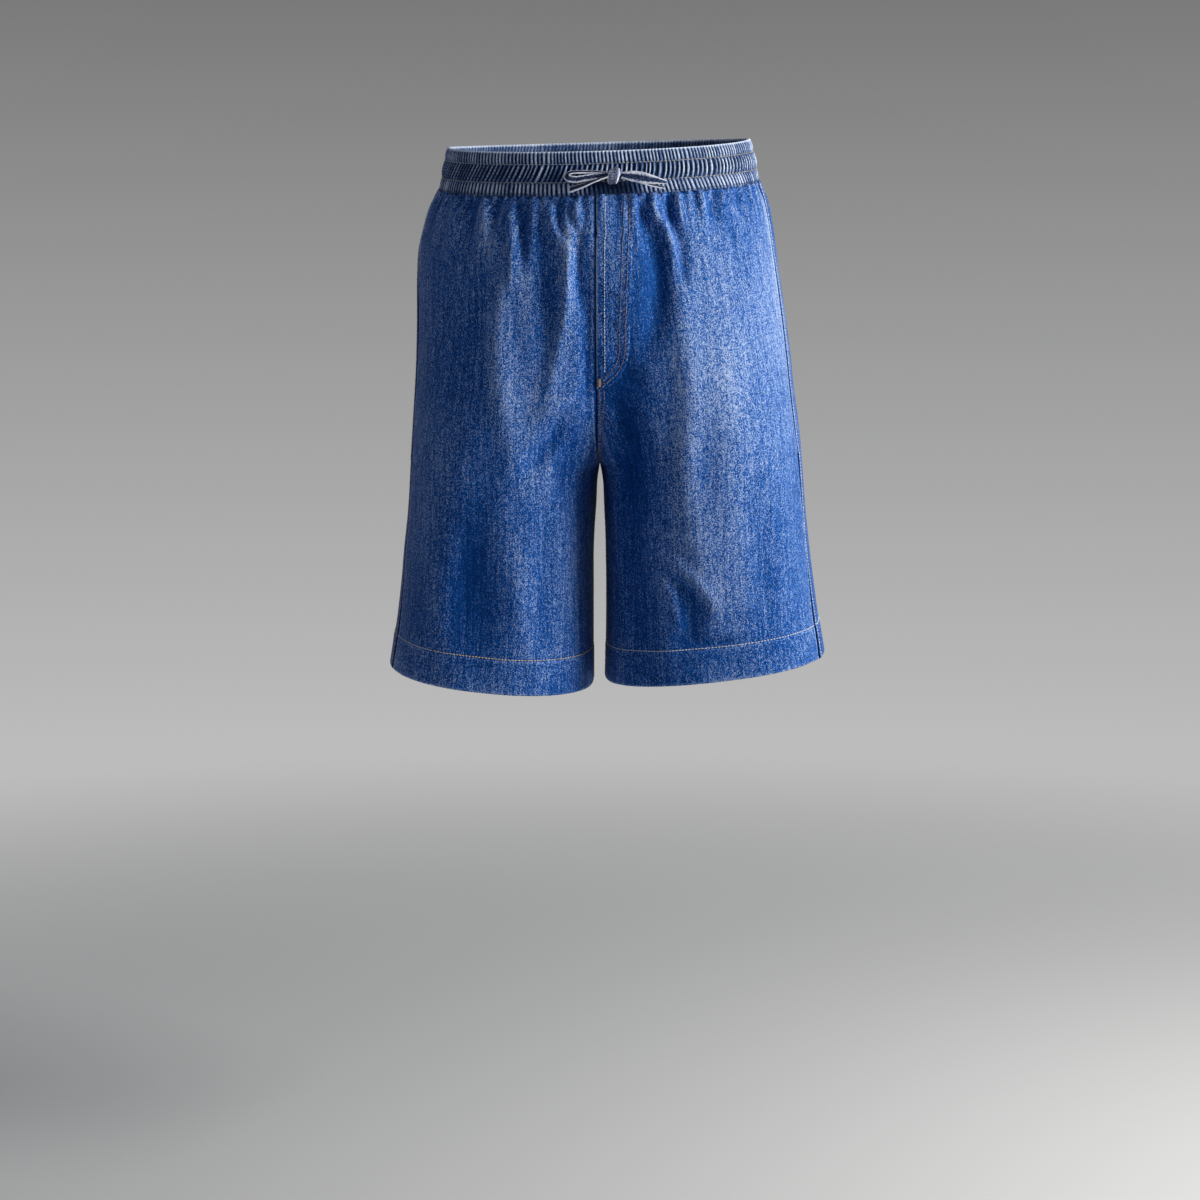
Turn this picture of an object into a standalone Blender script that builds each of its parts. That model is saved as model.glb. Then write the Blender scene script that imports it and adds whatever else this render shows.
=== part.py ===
"""Pull-on denim shorts, worn: a gathered waistband over four panels, hollow and open.

The tables are in millimetres and the solids in metres. +X is the wearer's left, -Y the front, +Z up.
The origin is the middle of the waistband, where the wearer's waist holds the shorts up.

The garment is one form: at each level below the waistband's middle a half section runs from the
centre front round the side to the centre back. Above the crotch the two halves meet on the centre
line; below it each half closes into a leg. Every piece is cut from that form.
"""

import functools
import math

import bmesh
import bpy
import numpy as np

MM = 0.001

# Cloth
WALL = 1.4
SEAM_GAP = 0.3
LAYER_GAP = 0.35
HEM_WALL = 1.2
FLY_WALL = 1.2
FACING_WALL = 1.2

# Levels, measured down from the middle of the waistband
BAND_TOP = -20.0
BAND_BOTTOM = 20.0
PANEL_TOP = 20.4
CROTCH = 285.0
HEM = 493.0
HEM_TURN = 36.0

# Half widths on the wearer's right and left, depths to the front and back, how far the side seam
# lies in front of the widest point, and how boxed the section is (2 is an ellipse)
SECTION_COLUMNS = ("down", "right", "left", "front", "back", "seam_right", "seam_left", "square")
SECTIONS = (
    (-20, 150.5, 147.5, 104, 102, 12, 12, 2.00),
    (0, 154.5, 152.5, 107, 105, 12, 12, 2.00),
    (20, 158.5, 156.0, 109, 109, 12, 17, 2.00),
    (38, 168.0, 163.5, 112, 114, 14, 23, 2.05),
    (58, 174.0, 168.5, 115, 119, 17, 27, 2.10),
    (78, 178.5, 172.0, 117, 123, 21, 30, 2.15),
    (100, 180.0, 175.5, 118, 128, 26, 32, 2.20),
    (150, 181.0, 183.0, 119, 134, 35, 37, 2.25),
    (190, 182.5, 188.0, 118, 135, 40, 41, 2.30),
    (235, 185.0, 193.0, 117, 130, 43, 44, 2.35),
    (285, 187.5, 199.0, 115, 118, 45, 46, 2.40),
    (340, 191.0, 204.0, 111, 105, 46, 46, 2.40),
    (375, 195.0, 207.5, 108, 97, 46, 46, 2.40),
    (410, 198.0, 212.0, 105, 90, 46, 46, 2.40),
    (455, 203.5, 218.5, 101, 82, 46, 46, 2.40),
    (493, 210.0, 225.0, 98, 77, 46, 46, 2.40),
)

# The rise: the centre line curves from full depth at the top to the crotch point
RISE_TOP = 60.0
FRONT_RISE_POWER = 3.0
BACK_RISE_POWER = 2.2
# From this level down each half gains a middle of its own, so that it closes into a leg
LEG_FORM_TOP = 40.0
# The legs part from the crotch down; this is half the space between them
LEG_GAP_COLUMNS = ("down", "half_gap")
LEG_GAPS = ((285, 0.15), (300, 3.0), (326, 4.7), (360, 6.4), (395, 6.8), (460, 6.8), (493, 6.5))
INNER_FRONT_SQUARE = 2.4
INNER_BACK_SQUARE = 2.5

# How the levels tip: up towards the wearer's left, down towards the front at the waist, and at the
# hems down towards the inseams and up towards the side seams
ROLL = 0.0235
WAIST_TIP_FRONT = 0.19
WAIST_TIP_BACK = 0.12
HEM_TIP_FRONT = {-1: 0.105, 1: 0.05}
HEM_TIP_BACK = -0.03
INSEAM_DROP = {-1: 19.0, 1: 16.0}
HEM_SIDE_RISE = {-1: 7.5, 1: 6.5}

# Folds: a ridge (height above 0) or a trough along a curve from start through middle to end, seen
# from the front or the back
FOLD_COLUMNS = ("x0", "z0", "x1", "z1", "x2", "z2", "width", "height")
FRONT_FOLDS = (
    (-108, -40, -103, -66, -96, -96, 8, 3.2),
    (-81, -40, -79, -80, -79, -124, 6, 4.0),
    (-82, -112, -93, -185, -76, -300, 14, 5.5),
    (-56, -60, -47, -140, -44, -215, 12, -5.0),
    (-48, -41, -38, -73, -25, -92, 6, 3.4),
    (-24, -88, -27, -125, -29, -166, 6, 5.0),
    (-33, -158, -38, -195, -45, -235, 9, 4.5),
    (-15, -68, -17, -106, -12, -146, 5, -4.5),
    (-7, -95, -8, -190, -7, -262, 6, -4.0),
    (-30, -250, -46, -278, -68, -300, 9, -6.0),
    (-112, -300, -114, -400, -114, -495, 18, -5.0),
    (42, -60, 60, -112, 50, -185, 11, -8.0),
    (22, -170, 30, -260, 32, -380, 18, -7.0),
    (50, -50, 69, -78, 74, -108, 6, 5.0),
    (70, -50, 78, -80, 82, -122, 6, -5.0),
    (78, -120, 88, -220, 84, -330, 14, 5.0),
    (118, -150, 122, -300, 124, -440, 26, 4.0),
    (86, -405, 90, -440, 82, -470, 12, -5.5),
    (32, -360, 36, -420, 40, -480, 18, -5.0),
    (80, -250, 92, -350, 104, -440, 18, 5.0),
)
BACK_FOLDS = (
    (-95, -30, -98, -70, -96, -120, 11, 4.0),
    (-45, -30, -44, -60, -48, -110, 10, -3.5),
    (55, -30, 50, -65, 54, -120, 11, -4.0),
    (105, -30, 100, -70, 104, -130, 12, 4.0),
    (-30, -220, -60, -270, -110, -300, 16, -4.5),
    (32, -225, 70, -268, 115, -310, 16, -4.5),
    (-95, -300, -105, -390, -110, -490, 22, 4.0),
    (100, -320, 112, -400, 118, -485, 22, 4.0),
)
# A fold's curve is drawn in steps, and it fades at its ends, towards the sides of the body, under
# the waistband, and beside the gap between the legs
FOLD_STEPS = 10
FOLD_END_SHARE = 0.08
FOLD_TAPER_POWER = 0.8
FOLD_EDGE = (3.0, 30.0)
FOLD_TOP_FADE = 14.0
LEG_FOLD_TOP = 160.0
LEG_FOLD_FADE = (8.0, 26.0)

# Waistband: the channels that its two stitch rows make
CHANNEL_COLUMNS = ("top", "bottom", "puff")
CHANNELS = ((-20.0, -9.0, 1.5), (-9.0, 8.0, 2.0), (8.0, 20.0, 1.5))
CHANNEL_STEPS = 3
BAND_WALL = 4.0
BAND_COLUMNS = 26

# How many points a quarter of a section has, and the smallest share of it that is cut away
QUARTER_STEPS = 48
SMALLEST_CUT = 1e-6

# Steps over which the form's slopes are taken, and the angle past which an edge looks sharp
ARC_STEP = 1.0
LEVEL_STEP = 0.7
LEVEL_SLACK = 0.01
SHARP_ANGLE = 50.0

# Panels: their columns and rows, and the levels between which the crotch widens them; the width
# that the crotch adds goes to the columns by the centre seam
FRONT_COLUMNS = 16
BACK_COLUMNS = 13
RISE_ROWS = 17
RISE_SAMPLES = 200
RISE_MIN_ROW = 4.0
LEG_ROWS = 7
WIDEN_TOP = 200.0
WIDEN_BOTTOM = 400.0
WIDEN_POWER = 4.0

# In-seam pocket openings
POCKET_TOP = 22.0
POCKET_BOTTOM = 160.0
POCKET_GAPE = {-1: 0.9, 1: 2.6}
POCKET_LIFT = 1.4
# The gape grows fast from the top (share to the first power) and tapers (to the second)
POCKET_POWERS = (0.42, 1.5)
POCKET_SECOND_COLUMN_LIFT = 0.5
FACING_ABOVE = 6.0
FACING_BELOW = 12.0

# Mock fly: its width at the top and where its edge starts to curve in to the centre seam
FLY_TOP_WIDTH = 36.0
FLY_LOW_WIDTH = 32.0
FLY_STRAIGHT_END = 165.0
FLY_END = 205.0
FLY_TIP_SHARE = 0.98
FLY_COLUMNS = 3
FLY_ROWS = 14
FLY_INSET = 1.2
FLY_GAP = 1.4

# Drawstring tape and bow: z is in the front of the waistband, off is how far before its face, and
# width is the tape's height there
TAPE_THICK = 1.3
LOOP_RIGHT = (
    (11.0, 3.8, -20.4, 3.0), (4.0, 4.2, -19.6, 3.4), (-6.0, 4.4, -19.2, 3.6),
    (-15.0, 4.6, -19.2, 3.8), (-22.0, 4.8, -19.8, 4.0), (-26.2, 6.2, -22.0, 4.0),
    (-25.4, 8.0, -24.6, 4.0), (-20.0, 9.0, -25.8, 4.2), (-11.0, 9.2, -25.2, 4.4),
    (-1.0, 8.8, -23.8, 4.0), (7.0, 8.0, -22.8, 3.4), (11.0, 7.6, -22.6, 3.0),
)
TAIL_RIGHT = (
    (11.0, 11.8, -24.4, 5.4), (5.0, 12.4, -26.2, 6.6), (-4.0, 12.4, -29.4, 7.6),
    (-13.0, 12.0, -32.8, 8.4), (-24.0, 11.4, -36.0, 9.4),
)
LOOP_LEFT = (
    (24.4, 3.0, -21.0, 4.0), (33.0, 3.6, -21.4, 6.5), (44.0, 4.0, -23.2, 7.5), (55.0, 4.4, -26.2, 6.5),
    (62.0, 5.2, -28.4, 4.6), (66.0, 6.8, -29.4, 3.6), (63.0, 8.6, -28.8, 4.6), (56.0, 9.4, -27.6, 7.0),
    (46.0, 9.4, -26.0, 9.4), (36.0, 8.8, -24.4, 9.2), (28.0, 8.0, -23.2, 6.6), (24.4, 7.6, -22.8, 4.8),
)
TAIL_LEFT = (
    (24.4, 5.3, -25.0, 4.4), (33.0, 6.1, -26.8, 5.0), (44.0, 6.7, -30.2, 5.0), (55.0, 6.9, -33.2, 5.0),
    (65.0, 6.9, -34.8, 5.0),
)
KNOT_CENTRE = (17.7, 8.0, -23.4)
KNOT_SIZE = (12.0, 12.5, 16.0)
KNOT_SEGMENTS = 12
KNOT_RINGS = 8

ROUGHNESS = 0.85
COLOURS = {
    "denim": (0.075, 0.165, 0.430, 1.0),
    "denim_inside": (0.190, 0.270, 0.440, 1.0),
    "washed_denim": (0.150, 0.210, 0.350, 1.0),
}


def rows_of(columns, table):
    """Each row of a table as a dictionary."""
    return [dict(zip(columns, row)) for row in table]


def smooth_step(low, high, value):
    """0 below low, 1 above high, and a smooth rise between."""
    t = np.clip((np.asarray(value, float) - low) / (high - low), 0.0, 1.0)
    return t * t * (3.0 - 2.0 * t)


def read_off(columns, table, name, down):
    """A column of a table at any level, on a smooth curve through its rows."""
    table = np.array(table, float)
    places, values = table[:, 0], table[:, columns.index(name)]
    slopes = np.gradient(values, places)
    down = float(np.clip(down, places[0], places[-1]))
    i = int(np.clip(np.searchsorted(places, down) - 1, 0, len(places) - 2))
    step = places[i + 1] - places[i]
    t = (down - places[i]) / step
    return (
        (2 * t**3 - 3 * t**2 + 1) * values[i]
        + (t**3 - 2 * t**2 + t) * step * slopes[i]
        + (3 * t**2 - 2 * t**3) * values[i + 1]
        + (t**3 - t**2) * step * slopes[i + 1]
    )


def size_at(name, down):
    return read_off(SECTION_COLUMNS, SECTIONS, name, down)


def quarter(middle, reach, depth, power, end_share):
    """A boxed quarter ellipse from its far end (share 1 of reach, or less if cut) to its middle."""
    start = math.acos(min(1.0, end_share ** (power / 2)))
    angle = np.linspace(start, math.pi / 2, QUARTER_STEPS)
    along = np.abs(np.cos(angle)) ** (2 / power)
    out = np.abs(np.sin(angle)) ** (2 / power)
    return np.stack([middle + reach * along, depth * out], axis=1)


def half_section(side, down):
    """The half section at a level: its points (x, y) on the +X side, and the arc length to each."""
    name = "right" if side < 0 else "left"
    wide, square = size_at(name, down), size_at("square", down)
    inner_end = SEAM_GAP / 2
    if down > CROTCH:
        inner_end = read_off(LEG_GAP_COLUMNS, LEG_GAPS, "half_gap", down)
    middle = smooth_step(LEG_FORM_TOP, CROTCH, down) * (wide + inner_end) / 2
    middle = max(float(middle), inner_end)
    fall = min(max((down - RISE_TOP) / (CROTCH - RISE_TOP), 0.0), 1.0)
    pieces = []
    for sign, depth_name, rise_power, inner_square in (
        (-1, "front", FRONT_RISE_POWER, INNER_FRONT_SQUARE),
        (1, "back", BACK_RISE_POWER, INNER_BACK_SQUARE),
    ):
        depth = sign * size_at(depth_name, down)
        centre_share = (1 - fall**rise_power) ** (1 / rise_power)
        cut = (1 - centre_share**inner_square) ** (1 / inner_square)
        cut = max(cut, SMALLEST_CUT)
        inner = quarter(middle, -(middle - inner_end) / cut, depth, inner_square, cut)
        outer = quarter(middle, wide - middle, depth, square, 1.0)[::-1]
        pieces.append((inner, outer))
    front_inner, front_outer = pieces[0]
    back_inner, back_outer = pieces[1]
    line = np.concatenate([front_inner, front_outer[1:], back_outer[::-1][1:], back_inner[::-1][1:]])
    arc = np.concatenate([[0.0], np.cumsum(np.linalg.norm(np.diff(line, axis=0), axis=1))])
    side_arc = arc[len(front_inner) + len(front_outer) - 2]
    return line, arc, side_arc


def height_at(side, down, x, y):
    """How high the point (x, y) of a level lies."""
    share = min(max((down - BAND_TOP) / (HEM - BAND_TOP), 0.0), 1.0)
    front_tip = WAIST_TIP_FRONT + share * (HEM_TIP_FRONT[side] - WAIST_TIP_FRONT)
    back_tip = WAIST_TIP_BACK + share * (HEM_TIP_BACK - WAIST_TIP_BACK)
    wide = size_at("right" if side < 0 else "left", down)
    out = np.abs(x) / wide
    bent = share**2 * (HEM_SIDE_RISE[side] * out**3 - INSEAM_DROP[side] * (1 - out))
    return -down + ROLL * x + np.where(y < 0, front_tip, back_tip) * y + bent


def form_points(side, down, arcs):
    """Points of the form at a level, at these arc lengths from the centre front."""
    line, arc, _ = half_section(side, down)
    x = side * np.interp(arcs, arc, line[:, 0])
    y = np.interp(arcs, arc, line[:, 1])
    return np.stack([x, y, height_at(side, down, x, y)], axis=1)


def fold_path(fold):
    """A fold's curve in (x, z), as short straight runs through its middle point."""
    t = np.linspace(0.0, 1.0, FOLD_STEPS + 1)[:, None]
    start = np.array([fold["x0"], fold["z0"]])
    through = np.array([fold["x1"], fold["z1"]])
    end = np.array([fold["x2"], fold["z2"]])
    bend = 2 * through - (start + end) / 2
    return (1 - t) ** 2 * start + 2 * t * (1 - t) * bend + t**2 * end


def fold_relief(fold, x, z):
    """How far one fold lifts the cloth at (x, z)."""
    path = fold_path(fold)
    nearest = np.full(np.shape(x), np.inf)
    along = np.zeros(np.shape(x))
    for i in range(FOLD_STEPS):
        run = path[i + 1] - path[i]
        t = ((x - path[i, 0]) * run[0] + (z - path[i, 1]) * run[1]) / (run @ run)
        t = np.clip(t, 0.0, 1.0)
        away = np.hypot(x - path[i, 0] - t * run[0], z - path[i, 1] - t * run[1])
        along = np.where(away < nearest, (i + t) / FOLD_STEPS, along)
        nearest = np.minimum(nearest, away)
    share = FOLD_END_SHARE + (1 - 2 * FOLD_END_SHARE) * along
    taper = np.sin(math.pi * share) ** FOLD_TAPER_POWER
    return fold["height"] * taper * np.exp(-((nearest / fold["width"]) ** 2))


def relief(points, down):
    """How far the folds lift the cloth at points of one level."""
    x, y, z = points[:, 0], points[:, 1], points[:, 2]
    total = np.zeros(len(points))
    for sign, table in ((-1, FRONT_FOLDS), (1, BACK_FOLDS)):
        facing = smooth_step(FOLD_EDGE[0], FOLD_EDGE[1], sign * y)
        for fold in rows_of(FOLD_COLUMNS, table):
            total = total + facing * fold_relief(fold, x, z)
    total = total * smooth_step(PANEL_TOP, PANEL_TOP + FOLD_TOP_FADE, down)
    beside_gap = smooth_step(LEG_FOLD_FADE[0], LEG_FOLD_FADE[1], np.abs(x))
    low = smooth_step(LEG_FOLD_TOP, CROTCH, down)
    return total * (1 - low * (1 - beside_gap))


def outward(side, down, arcs):
    """The form's unit normals at a level, at these arc lengths."""
    _, arc, side_arc = half_section(side, down)
    low, high = np.clip(arcs - ARC_STEP, 0, arc[-1]), np.clip(arcs + ARC_STEP, 0, arc[-1])
    across = form_points(side, down, high) - form_points(side, down, low)
    ends = []
    for level in (down - LEVEL_STEP, down + LEVEL_STEP):
        _, other, other_side = half_section(side, level)
        ends.append(form_points(side, level, np.clip(arcs - side_arc + other_side, 0, other[-1])))
    normal = side * np.cross(ends[1] - ends[0], across)
    return normal / np.linalg.norm(normal, axis=1)[:, None]


def layer(side, levels, arcs_at, offset, lift_at=None):
    """A grid of points: the folded form at each level, moved out along its normals."""
    grid = []
    for down in levels:
        arcs = arcs_at(down)
        points, normals = form_points(side, down, arcs), outward(side, down, arcs)
        lift = relief(points, down) + offset
        if lift_at is not None:
            lift = lift + lift_at(down, len(arcs))
        grid.append(points + normals * lift[:, None])
    return np.array(grid)


def wall_mesh(name, outer, inner, round_grid=False):
    """A closed wall between two grids of points; a round grid joins its last column to its first."""
    rows, columns = outer.shape[:2]
    work = bmesh.new()
    skins = [[[work.verts.new(p * MM) for p in row] for row in skin] for skin in (outer, inner)]
    across = range(columns if round_grid else columns - 1)
    for skin in skins:
        for i in range(rows - 1):
            for j in across:
                k = (j + 1) % columns
                work.faces.new([skin[i][j], skin[i + 1][j], skin[i + 1][k]])
                work.faces.new([skin[i][j], skin[i + 1][k], skin[i][k]])
    top, bottom = 0, rows - 1
    for j in across:
        k = (j + 1) % columns
        work.faces.new([skins[0][top][j], skins[0][top][k], skins[1][top][k], skins[1][top][j]])
        work.faces.new([skins[0][bottom][k], skins[0][bottom][j], skins[1][bottom][j], skins[1][bottom][k]])
    if not round_grid:
        last = columns - 1
        for i in range(rows - 1):
            work.faces.new([skins[0][i + 1][0], skins[0][i][0], skins[1][i][0], skins[1][i + 1][0]])
            work.faces.new([skins[0][i][last], skins[0][i + 1][last], skins[1][i + 1][last], skins[1][i][last]])
    bmesh.ops.recalc_face_normals(work, faces=work.faces)
    bmesh.ops.triangulate(work, faces=work.faces)
    mesh = bpy.data.meshes.new(name)
    work.to_mesh(mesh)
    work.free()
    return mesh


def material(name):
    """A plain Principled material of one of the cloth's colours."""
    found = bpy.data.materials.get(name)
    if found is not None:
        return found
    made = bpy.data.materials.new(name)
    made.use_nodes = True
    shader = made.node_tree.nodes["Principled BSDF"]
    shader.inputs["Base Color"].default_value = COLOURS[name]
    shader.inputs["Roughness"].default_value = ROUGHNESS
    shader.inputs["Metallic"].default_value = 0.0
    return made


def add_piece(collection, name, mesh, colour="denim"):
    """Places a mesh in the scene as a named piece of cloth."""
    piece = bpy.data.objects.new(name, mesh)
    collection.objects.link(piece)
    mesh.materials.append(material(colour))
    mesh.shade_smooth()
    mesh.set_sharp_from_angle(angle=math.radians(SHARP_ANGLE))
    return piece


def rise_levels(count):
    """Levels from the panels' top to the crotch, evenly spaced along the front rise's curve."""
    downs = np.linspace(PANEL_TOP, CROTCH, RISE_SAMPLES)
    centre = np.array([(half_section(1, down)[0][0][1], down) for down in downs])
    along = np.concatenate([[0.0], np.cumsum(np.linalg.norm(np.diff(centre, axis=0), axis=1))])
    levels = np.interp(np.linspace(0.0, along[-1], count + 1), along, downs)
    for i in range(count - 1, 0, -1):
        levels[i] = min(levels[i], levels[i + 1] - RISE_MIN_ROW)
    return levels


@functools.cache
def panel_levels():
    """The rows of a panel: the rise, the leg, and the hem's turn."""
    turn = HEM - HEM_TURN
    legs = np.linspace(CROTCH, turn, LEG_ROWS + 1)[1:]
    return [*rise_levels(RISE_ROWS).tolist(), *legs.tolist(), HEM]


def pocket_share(down):
    """0 outside the pocket opening and up to 1 in it, most near its top."""
    share = (down - POCKET_TOP) / (POCKET_BOTTOM - POCKET_TOP)
    rise, taper = POCKET_POWERS
    return math.sin(math.pi * share**rise) ** taper if 0.0 < share < 1.0 else 0.0


def seam_arc(side, down):
    """Where the side seam lies, as an arc length from the centre front."""
    _, _, side_arc = half_section(side, down)
    return side_arc - size_at("seam_right" if side < 0 else "seam_left", down)


def front_length(side, down):
    """How wide the front panel is at a level, from the centre seam to the side seam."""
    return seam_arc(side, down) - SEAM_GAP


def back_length(side, down):
    """How wide the back panel is at a level, from the side seam to the centre seam."""
    _, arc, _ = half_section(side, down)
    return arc[-1] - seam_arc(side, down) - SEAM_GAP


def spread(length_at, side, down, columns):
    """A panel's columns as distances from its side seam, from 0 to its width at a level."""
    share = float(smooth_step(WIDEN_TOP, WIDEN_BOTTOM, down))
    above, below = length_at(side, min(down, WIDEN_TOP)), length_at(side, max(down, WIDEN_BOTTOM))
    even = (1 - share) * above + share * below
    t = np.linspace(0.0, 1.0, columns + 1)
    return even * t + (length_at(side, down) - even) * t**WIDEN_POWER


def front_arcs(side):
    def arcs_at(down):
        arcs = seam_arc(side, down) - SEAM_GAP / 2 - spread(front_length, side, down, FRONT_COLUMNS)[::-1]
        arcs[-1] -= POCKET_GAPE[side] * pocket_share(down)
        return arcs

    return arcs_at


def back_arcs(side):
    def arcs_at(down):
        return seam_arc(side, down) + SEAM_GAP / 2 + spread(back_length, side, down, BACK_COLUMNS)

    return arcs_at


def front_lift(down, count):
    """The front panel's pocket edge stands a little proud."""
    lift = np.zeros(count)
    lift[-1] = POCKET_LIFT * pocket_share(down)
    lift[-2] = POCKET_SECOND_COLUMN_LIFT * lift[-1]
    return lift


def make_front(collection, side, name):
    levels = panel_levels()
    outer = layer(side, levels, front_arcs(side), 0.0, front_lift)
    inner = layer(side, levels, front_arcs(side), -WALL, front_lift)
    add_piece(collection, name, wall_mesh(name, outer, inner))


def make_back(collection, side, name):
    levels = panel_levels()
    outer = layer(side, levels, back_arcs(side), 0.0)
    inner = layer(side, levels, back_arcs(side), -WALL)
    add_piece(collection, name, wall_mesh(name, outer, inner))


def make_hem(collection, side, name):
    """The turned-up layer inside a leg: the panels' own points, moved in."""
    levels = [down for down in panel_levels() if HEM - down <= HEM_TURN + LEVEL_SLACK]

    def arcs_at(down):
        return np.concatenate([front_arcs(side)(down), back_arcs(side)(down)])

    outer = layer(side, levels, arcs_at, -WALL - LAYER_GAP)
    inner = layer(side, levels, arcs_at, -WALL - LAYER_GAP - HEM_WALL)
    add_piece(collection, name, wall_mesh(name, outer, inner, round_grid=True), "denim_inside")


def make_facing(collection, side, name):
    """The pocket facing behind a side seam's opening."""
    levels = [d for d in panel_levels() if POCKET_TOP - FACING_ABOVE < d < POCKET_BOTTOM + FACING_BELOW]

    def arcs_at(down):
        return np.concatenate([front_arcs(side)(down)[-3:], back_arcs(side)(down)[:2]])

    def lift_at(down, count):
        lift = np.zeros(count)
        lift[:3] = front_lift(down, FRONT_COLUMNS + 1)[-3:]
        lift[2] = 0.0
        return lift

    outer = layer(side, levels, arcs_at, -WALL - LAYER_GAP, lift_at)
    inner = layer(side, levels, arcs_at, -WALL - LAYER_GAP - FACING_WALL, lift_at)
    add_piece(collection, name, wall_mesh(name, outer, inner), "denim_inside")


def channel_profile():
    """The waistband's outer face: (level, how far it puffs out) down its channels."""
    points = []
    for channel in rows_of(CHANNEL_COLUMNS, CHANNELS):
        tall = channel["bottom"] - channel["top"]
        for k in range(CHANNEL_STEPS):
            share = k / CHANNEL_STEPS
            points.append((channel["top"] + share * tall, channel["puff"] * math.sin(math.pi * share)))
    return points + [(BAND_BOTTOM, 0.0)]


def band_ring(down, out):
    """One ring of the waistband, moved out level with its tipped plane."""
    ring = []
    for side in (1, -1):
        _, arc, _ = half_section(side, down)
        arcs = np.linspace(0.0, arc[-1], BAND_COLUMNS + 1)
        if side < 0:
            arcs = arcs[1:-1][::-1]
        points, normals = form_points(side, down, arcs), outward(side, down, arcs)
        flat = normals[:, :2] / np.linalg.norm(normals[:, :2], axis=1)[:, None]
        x, y = points[:, 0] + out * flat[:, 0], points[:, 1] + out * flat[:, 1]
        ring.append(np.stack([x, y, height_at(side, down, x, y)], axis=1))
    return np.concatenate(ring)


def make_waistband(collection):
    profile = channel_profile()
    outer = np.array([band_ring(down, out) for down, out in profile])
    inner = np.array([band_ring(down, -BAND_WALL) for down, _ in profile])
    add_piece(collection, "waistband", wall_mesh("waistband", outer, inner, round_grid=True), "washed_denim")


def between_rows(levels, rows, down):
    """A row of values at any level, on the straight line between the rows above and below it."""
    i = int(np.clip(np.searchsorted(levels, down), 1, len(levels) - 1))
    share = (down - levels[i - 1]) / (levels[i] - levels[i - 1])
    return (1 - share) * rows[i - 1] + share * rows[i]


def fly_width(down):
    """How wide the fly is at a level: nearly straight, then a quarter ellipse in to the seam."""
    share = (down - PANEL_TOP) / (FLY_STRAIGHT_END - PANEL_TOP)
    width = FLY_TOP_WIDTH + min(share, 1.0) * (FLY_LOW_WIDTH - FLY_TOP_WIDTH)
    curve = max(0.0, (down - FLY_STRAIGHT_END) / (FLY_END - FLY_STRAIGHT_END))
    return width * math.sqrt(1.0 - (FLY_TIP_SHARE * curve) ** 2)


def make_fly(collection):
    """The mock fly: the front panel's own faces beside the centre seam, moved out."""
    side = 1
    levels = panel_levels()
    panel = layer(side, levels, front_arcs(side), 0.0, front_lift)
    panel_arcs = [front_arcs(side)(down) for down in levels]
    outer, inner = [], []
    for down in np.linspace(levels[0] + FLY_INSET, FLY_END, FLY_ROWS + 1):
        row, arcs = between_rows(levels, panel, down), between_rows(levels, panel_arcs, down)
        at = np.linspace(FLY_INSET, fly_width(down), FLY_COLUMNS + 1)
        points = np.stack([np.interp(at, arcs, row[:, k]) for k in range(3)], axis=1)
        normals = outward(side, down, at)
        outer.append(points + normals * (FLY_GAP + FLY_WALL))
        inner.append(points + normals * FLY_GAP)
    add_piece(collection, "fly", wall_mesh("fly", np.array(outer), np.array(inner)))


def band_face():
    """Where the waistband's front face lies along Y."""
    return -size_at("front", 0.0) - max(row[2] for row in CHANNELS)


def tape_mesh(name, route):
    """A flat tape along a route of (x, off, z, width) points, its width upright and its ends capped."""
    face = band_face()
    line = np.array([(x, face - off, z) for x, off, z, _ in route])
    half_wide = np.array([[width / 2] for _, _, _, width in route])
    half_thick = TAPE_THICK / 2
    run = np.gradient(line, axis=0)
    run /= np.linalg.norm(run, axis=1)[:, None]
    up = np.array([0.0, 0.0, 1.0]) - run[:, 2:3] * run
    up /= np.linalg.norm(up, axis=1)[:, None]
    out = np.cross(run, up)
    near = np.stack([line + up * half_wide - out * half_thick, line - up * half_wide - out * half_thick])
    far = np.stack([line + up * half_wide + out * half_thick, line - up * half_wide + out * half_thick])
    return wall_mesh(name, near, far)


def make_bow(collection):
    for name, route in (
        ("bow_loop_right", LOOP_RIGHT),
        ("bow_tail_right", TAIL_RIGHT),
        ("bow_loop_left", LOOP_LEFT),
        ("bow_tail_left", TAIL_LEFT),
    ):
        add_piece(collection, name, tape_mesh(name, route), "washed_denim")
    x, off, z = KNOT_CENTRE
    bpy.ops.mesh.primitive_uv_sphere_add(segments=KNOT_SEGMENTS, ring_count=KNOT_RINGS, radius=0.5)
    knot = bpy.context.object
    knot.name = knot.data.name = "bow_knot"
    for vertex in knot.data.vertices:
        for axis in range(3):
            vertex.co[axis] *= KNOT_SIZE[axis] * MM
    knot.location = (x * MM, (band_face() - off) * MM, z * MM)
    for holder in list(knot.users_collection):
        holder.objects.unlink(knot)
    collection.objects.link(knot)
    knot.data.materials.append(material("washed_denim"))
    knot.data.shade_smooth()


def clear_scene():
    for old in list(bpy.data.objects):
        bpy.data.objects.remove(old)


def main():
    clear_scene()
    collection = bpy.data.collections.new("denim_shorts")
    bpy.context.scene.collection.children.link(collection)
    make_waistband(collection)
    for side, word in ((-1, "right"), (1, "left")):
        make_front(collection, side, "front_" + word)
        make_back(collection, side, "back_" + word)
        make_hem(collection, side, "hem_" + word)
        make_facing(collection, side, "pocket_facing_" + word)
    make_fly(collection)
    make_bow(collection)


main()
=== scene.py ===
"""The looks of the pull-on denim shorts: fine cloth shells, gathers, stitching and the drawstring.

The tables are in millimetres and the meshes in metres, in the model's frame: +X is the wearer's left,
-Y the front, +Z up, and the origin is the middle of the waistband. Each cloth piece is the same form
as the solid it stands for: at each level below the waistband's middle a half section runs from the
centre front round the side to the centre back.
"""

import functools
import math

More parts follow.
